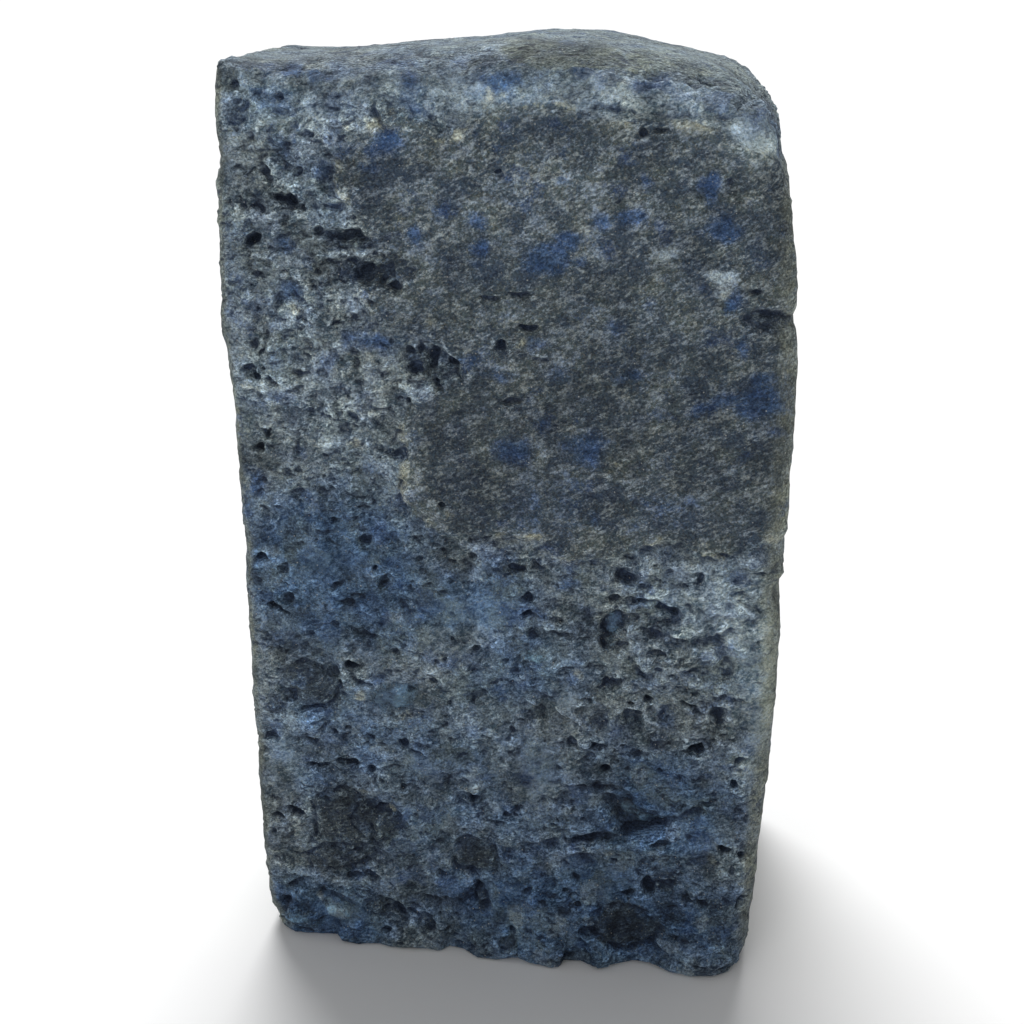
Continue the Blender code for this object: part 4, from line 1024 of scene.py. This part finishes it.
def worn_colour(rind, colours, colour):
    """Paint shade into the hollows, pits and pores, paint highlights on the ridges and proud parts, and
    vary the tone.
    """
    graph = rind.graph
    open_rind = graph.math("SUBTRACT", 1.0, graph.times(rind.read("crust"), 0.6))
    unworn = graph.math("SUBTRACT", 1.0, graph.times(rind.read("smooth"), 0.6))
    raised = graph.times(rind.read("raised"), unworn)
    # Painted shade where the surface lies below its broad surroundings
    colour = graph.mix(graph.fade(rind.read("high"), 0.1, -1.3, 0.0, 0.75), colour, colours.hollow_shade)
    # Painted shade in the pits and pores, fine and coarse, and where the surface lies below its near
    # surroundings
    small = graph.times(graph.fade(rind.pitted, 0.42, 0.32), open_rind, 0.6)
    colour = graph.mix(small, colour, colours.pore)
    porous = graph.fade(rind.read("porous"), 0.0, 1.0, 0.15, 0.75)
    dash = graph.times(graph.fade(rind.dashes, 0.43, 0.35), open_rind, porous)
    colour = graph.mix(dash, colour, colours.pore)
    colour = graph.mix(graph.times(rind.read("pore"), 0.55), colour, colours.pore)
    colour = graph.mix(graph.fade(raised, 0.0, -0.45, 0.0, 0.65), colour, colours.pore)

    mosaic = graph.fade(rind.read("sawn"), 0.0, 1.0, 0.16, 0.04)
    tone = graph.times(graph.math("SUBTRACT", rind.read("chip_tone"), 0.5), mosaic)
    depth = graph.plus(graph.times(rind.drift, 0.8), tone, 0.1)
    shade = graph.mix(graph.fade(depth, 0.30, 0.70), colours.shade_dark, colours.shade_light)
    even = graph.math("SUBTRACT", 1.0, graph.times(rind.read("crust"), 0.5))
    colour = graph.mix(even, colour, shade, "MULTIPLY")
    # Painted highlights on the ridges and on the parts that stand proud, times the listed tone, whose lifts
    # along the crown are painted light
    ridge_highlight = graph.times(graph.fade(raised, 0.0, 0.35, 0.0, 0.75), graph.fade(rind.streak, 0.42, 0.6))
    lit_ridges = graph.plus(1.0, ridge_highlight)
    proud = graph.fade(rind.read("high"), 0.0, 1.6, 1.0, 1.45)
    lighter = {0: colour, "Scale": graph.times(graph.plus(rind.read("tone"), 1.3), lit_ridges, proud)}
    colour = graph.node("ShaderNodeVectorMath", lighter, operation="SCALE").outputs[0]
    hue = graph.fade(graph.noise(rind.place, rind.hue_size, 5.0, 0.72), 0.40, 0.60)
    colour = graph.mix(0.8, colour, graph.mix(hue, colours.bluer, colours.greener), "MULTIPLY")
    grain = graph.mix(graph.fade(rind.second, 0.32, 0.68), colours.grain_dark, colours.grain_light)
    colour = graph.mix(unworn, colour, grain, "MULTIPLY")
    warmth = graph.mix(graph.fade(rind.third, 0.35, 0.65), colours.cool, colours.warm)
    return graph.mix(0.35, colour, warmth, "MULTIPLY")


def rind_material(colours, texture):
    """Dyed rind: grey-blue pitted matrix, brown crust, pools of cobalt dye, cream and pale chips, with
    painted shade and highlights.
    """
    stone = bpy.data.materials.new("dyed_rind")
    stone.use_nodes = True
    graph = Graph(stone.node_tree)
    shader = stone.node_tree.nodes["Principled BSDF"]
    rind = RindPatterns(graph, texture)

    colour = open_rind_colour(rind, colours)
    colour = graph.mix(rind.patch("crust", 0.2, 0.8), colour, crust_colour(rind, colours))
    side = graph.mix(graph.fade(rind.tone, 0.35, 0.62), colours.side_dark, colours.side_light)
    colour = graph.mix(graph.times(rind.read("sawn"), 0.8), colour, side)
    colour = graph.mix(graph.fade(rind.stained, 0.56, 0.68, 0.0, 0.5), colour, colours.stain)
    colour = graph.mix(graph.fade(rind.stained, 0.44, 0.32, 0.0, 0.5), colour, colours.dark)
    colour = patched_colour(rind, colours, colour)
    facet = rind.patch("facet", 0.4, 0.8, 0.8)
    facet_colour = graph.mix(graph.fade(rind.cloud, 0.3, 0.7), colours.facet_dark, colours.facet_light)
    colour = graph.mix(facet, colour, facet_colour)
    cream_fleck = graph.times(graph.fade(rind.third, 0.60, 0.72), graph.fade(rind.cloud, 0.42, 0.6), 0.2)
    colour = graph.mix(cream_fleck, colour, colours.cream)
    colour = worn_colour(rind, colours, colour)

    # Pale crystal grains, lightened as painted glints and made glossier
    distance, (lot, _, _) = graph.cells(rind.place, texture.crystal_size)
    crystal_glint = graph.times(graph.fade(lot, 0.97, 1.0), graph.fade(distance, 0.45, 0.15))
    colour = graph.mix(graph.times(crystal_glint, 0.6), colour, colours.grit_glint)
    graph.feed(shader.inputs["Base Color"], colour)
    gloss = graph.fade(facet, 0.0, 1.0, 0.86, 0.6)
    graph.feed(shader.inputs["Roughness"], graph.math("SUBTRACT", gloss, graph.times(crystal_glint, 0.35)))
    shader.inputs["Specular IOR Level"].default_value = 0.3

    open_rind = graph.math("SUBTRACT", 1.0, graph.times(rind.read("crust"), 0.8))
    wrinkle = graph.times(rind.wrinkle, rind.read("crust"), 0.6)
    height = graph.plus(graph.times(rind.streak, 0.6), graph.times(rind.dashes, open_rind), wrinkle)
    height = graph.times(height, graph.fade(facet, 0.0, 1.0, 1.0, 0.25))
    bump = graph.node("ShaderNodeBump", {"Height": height, "Strength": 0.9, "Distance": 0.8 * MM})
    graph.feed(shader.inputs["Normal"], bump.outputs[0])
    return stone


def cut_plain_block(sizes):
    """Add a plain box as a fine grid: a flat grid, pulled up, its uprights cut."""
    coarser = 1
    bpy.ops.object.select_all(action="DESELECT")
    bpy.ops.mesh.primitive_grid_add(x_subdivisions=sizes.cells_across // coarser,
                                    y_subdivisions=sizes.cells_deep // coarser, size=2)
    block = bpy.context.object
    bpy.ops.object.mode_set(mode="EDIT")
    bpy.ops.mesh.select_mode(type="EDGE")
    bpy.ops.mesh.select_all(action="SELECT")
    bpy.ops.mesh.extrude_region_move(TRANSFORM_OT_translate={"value": (0, 0, 1)})
    for cells in (sizes.layers, sizes.cells_in_layer // coarser):
        bpy.ops.mesh.select_all(action="DESELECT")
        bpy.ops.object.mode_set(mode="OBJECT")
        select_uprights(block.data)
        bpy.ops.object.mode_set(mode="EDIT")
        bpy.ops.mesh.subdivide(number_cuts=cells - 1)
    bpy.ops.mesh.select_all(action="SELECT")
    bpy.ops.mesh.normals_make_consistent(inside=False)
    bpy.ops.object.mode_set(mode="OBJECT")
    return block


def select_uprights(mesh):
    """Select the edges that run straight up."""
    heights = read_vertices(mesh)[:, 2]
    ends = np.empty(len(mesh.edges) * 2, np.int32)
    mesh.edges.foreach_get("vertices", ends)
    lower, upper = ends.reshape(-1, 2).T
    mesh.edges.foreach_set("select", abs(heights[upper] - heights[lower]) > LEVEL)


def read_rows(rows, name):
    """Read three numbers of every vertex, one row each."""
    values = np.empty(len(rows) * 3, np.float32)
    rows.foreach_get(name, values)
    return values.reshape(-1, 3).astype(float)


def read_vertices(mesh):
    """Every vertex place of a mesh."""
    return read_rows(mesh.vertices, "co")


def write_vertices(mesh, places):
    """Move every vertex of a mesh."""
    mesh.vertices.foreach_set("co", places.astype(np.float32).ravel())
    mesh.update()


def keep_field(mesh, name, values):
    """Keep a number or a direction on every vertex under a name."""
    kind, key = ("FLOAT", "value") if values.ndim == 1 else ("FLOAT_VECTOR", "vector")
    field = mesh.attributes.new(name, kind, "POINT")
    field.data.foreach_set(key, values.astype(np.float32).ravel())


def apply_modifier(block, name):
    """Apply one modifier of the block."""
    bpy.ops.object.select_all(action="DESELECT")
    block.select_set(True)
    bpy.context.view_layer.objects.active = block
    bpy.ops.object.modifier_apply(modifier=name)


def thin_mesh(block, facing, sizes):
    """Merge triangles where the rind is plain, first away from the front and then on it."""
    mesh = block.data
    front = facing > 0.5
    corners = np.empty(len(mesh.loops), np.int32)
    mesh.loops.foreach_get("vertex_index", corners)
    front_now = 2 * np.count_nonzero(front[corners].reshape(-1, 4).all(axis=1))
    keep_field(mesh, "on_front", front.astype(float))
    targets = (front_now + sizes.other_triangles, sizes.front_triangles + sizes.other_triangles)
    for wanted, target in zip((False, True), targets):
        on_front = np.empty(len(mesh.vertices), np.float32)
        mesh.attributes["on_front"].data.foreach_get("value", on_front)
        group = block.vertex_groups.new(name="front" if wanted else "others")
        group.add(np.flatnonzero((on_front > 0.5) == wanted).tolist(), 1.0, "REPLACE")
        thin = block.modifiers.new("thin", "DECIMATE")
        thin.ratio = target / sum(len(face.vertices) - 2 for face in mesh.polygons)
        thin.vertex_group = group.name
        apply_modifier(block, thin.name)
    block.vertex_groups.clear()
    mesh.attributes.remove(mesh.attributes["on_front"])


def model_block(sizes, texture):
    """Model the whole block of rind."""
    block = cut_plain_block(sizes)
    mesh = block.data
    block.name = mesh.name = "agate_rind"
    places = worn_shape(read_vertices(mesh), sizes)
    write_vertices(mesh, places * MM)
    outward = read_rows(mesh.vertex_normals, "vector")
    facing = eased((-outward[:, 1] + 0.05) / 0.5)
    relief, listed = front_fields(places, sizes)
    for name, unlisted in other_fields(places, outward).items():
        keep_field(mesh, name, unlisted + (listed[name] - unlisted) * facing)
    base_calm = eased(places[:, 2] / BASE_CALM)
    from_rim = sizes.width / MM / 2 - 1.0 - abs(places[:, 0] + 0.5)
    from_crest = CROWN[0][1] - places[:, 2]
    inland = np.minimum(eased(from_rim / RIM_CALM), eased(from_crest / CREST_CALM))
    calm = CALMEST + (1 - CALMEST) * inland
    calm *= (1 - 0.5 * listed["cap"] * facing) * base_calm
    sawn = eased((abs(outward[:, 0]) - 0.2) / 0.45) * eased((abs(places[:, 0]) - SIDES_FROM) / 2)
    fields = {"roughening": calm, "sawn": sawn, "relief": relief * facing * base_calm * MM,
              "place": places * MM, "outward": outward}
    for name, values in fields.items():
        keep_field(mesh, name, values)

    roughen = block.modifiers.new("roughen", "NODES")
    roughen.node_group = roughening_nodes(texture)
    apply_modifier(block, roughen.name)
    places = read_vertices(mesh)
    places[:, 2] = np.maximum(places[:, 2], 0.0)
    write_vertices(mesh, places)
    for name in ("outward", "relief", "roughening"):
        mesh.attributes.remove(mesh.attributes[name])
    thin_mesh(block, facing, sizes)
    mesh.shade_smooth()
    return block


class GEODE_OT_rind_block(bpy.types.Operator):
    """Model the worn block of dyed rind"""

    bl_idname = "geode.rind_block"
    bl_label = "Rind Block"
    bl_options = {"REGISTER", "UNDO"}

    def execute(self, context):
        scene = context.scene
        block = model_block(scene.geode_sizes, scene.geode_texture)
        block.data.materials.append(rind_material(scene.geode_colours, scene.geode_texture))
        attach(block, "root")
        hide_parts(NODE)
        return {"FINISHED"}


def lay_paper(colour):
    """Lay a wide sheet of pale paper."""
    bpy.ops.object.select_all(action="DESELECT")
    bpy.ops.mesh.primitive_plane_add(size=PAPER_SIZE)
    floor = bpy.context.object
    floor.name = "paper"
    paper = bpy.data.materials.new("white_paper")
    paper.use_nodes = True
    shader = paper.node_tree.nodes["Principled BSDF"]
    shader.inputs["Base Color"].default_value = colour
    shader.inputs["Roughness"].default_value = 0.9
    shader.inputs["Specular IOR Level"].default_value = 0.0
    floor.data.materials.append(paper)
    return floor


def hang_light(kind, name, place, aim):
    """Hang a light at a place, turned towards another."""
    light = bpy.data.lights.new(name, kind)
    lamp = bpy.data.objects.new(name, light)
    lamp.location = place
    lamp.rotation_euler = (Vector(aim) - Vector(place)).to_track_quat("-Z", "Y").to_euler()
    bpy.context.scene.collection.objects.link(lamp)
    return light


class GEODE_OT_studio(bpy.types.Operator):
    """Lay the paper, hang the lights and stand the camera"""

    bl_idname = "geode.studio"
    bl_label = "Studio"
    bl_options = {"REGISTER", "UNDO"}

    def execute(self, context):
        scene = context.scene
        studio = scene.geode_studio
        lay_paper(studio.paper)
        world = bpy.data.worlds.new("studio_air")
        scene.world = world
        world.use_nodes = True
        air = world.node_tree.nodes["Background"]
        air.inputs["Color"].default_value = (1.0, 1.0, 1.0, 1.0)
        air.inputs["Strength"].default_value = studio.air_strength
        front = hang_light("AREA", "front_softbox", SOFTBOX_PLACE, SOFTBOX_AIM)
        front.shape = "SQUARE"
        front.size = SOFTBOX_SIZE
        front.energy = studio.front_watts
        overhead = hang_light("SUN", "overhead_softbox", OVERHEAD_PLACE, (0.0, 0.0, 0.0))
        overhead.energy = studio.overhead_strength
        overhead.angle = studio.overhead_spread

        lens = bpy.data.cameras.new("eye")
        lens.lens = studio.lens
        lens.sensor_width = SENSOR_WIDTH_MM
        lens.clip_start = NEAREST_SEEN
        camera = bpy.data.objects.new("eye", lens)
        camera.location = studio.eye
        camera.rotation_euler = Euler((math.pi / 2 - studio.eye_drop, 0.0, studio.eye_turn))
        scene.collection.objects.link(camera)
        scene.camera = camera
        scene.view_settings.view_transform = "Standard"
        return {"FINISHED"}


OPERATORS = (GEODE_OT_rind_block, GEODE_OT_studio)
SETTINGS = {
    "geode_sizes": GeodeBlockSizes,
    "geode_texture": GeodeTexture,
    "geode_colours": GeodeColours,
    "geode_studio": GeodeStudio,
}


class VIEW3D_PT_geode(bpy.types.Panel):
    """Steps, sizes and colours of the geode block"""

    bl_label = "Agate Geode Block"
    bl_idname = "VIEW3D_PT_geode"
    bl_space_type = "VIEW_3D"
    bl_region_type = "UI"
    bl_category = "Geode"

    def draw(self, context):
        for operator in OPERATORS:
            self.layout.operator(operator.bl_idname)
        for name, group in SETTINGS.items():
            box = self.layout.box()
            box.label(text=group.__doc__)
            for setting in group.__annotations__:
                box.prop(getattr(context.scene, name), setting)


def register():
    for part in (*SETTINGS.values(), *OPERATORS, VIEW3D_PT_geode):
        bpy.utils.register_class(part)
    for name, group in SETTINGS.items():
        setattr(bpy.types.Scene, name, PointerProperty(type=group))


def unregister():
    for name in SETTINGS:
        delattr(bpy.types.Scene, name)
    for part in (VIEW3D_PT_geode, *OPERATORS, *SETTINGS.values()):
        bpy.utils.unregister_class(part)


def main():
    """Register the add-on and run its steps."""
    register()
    bpy.ops.geode.rind_block()
    bpy.ops.geode.studio()


if __name__ == "__main__":
    main()
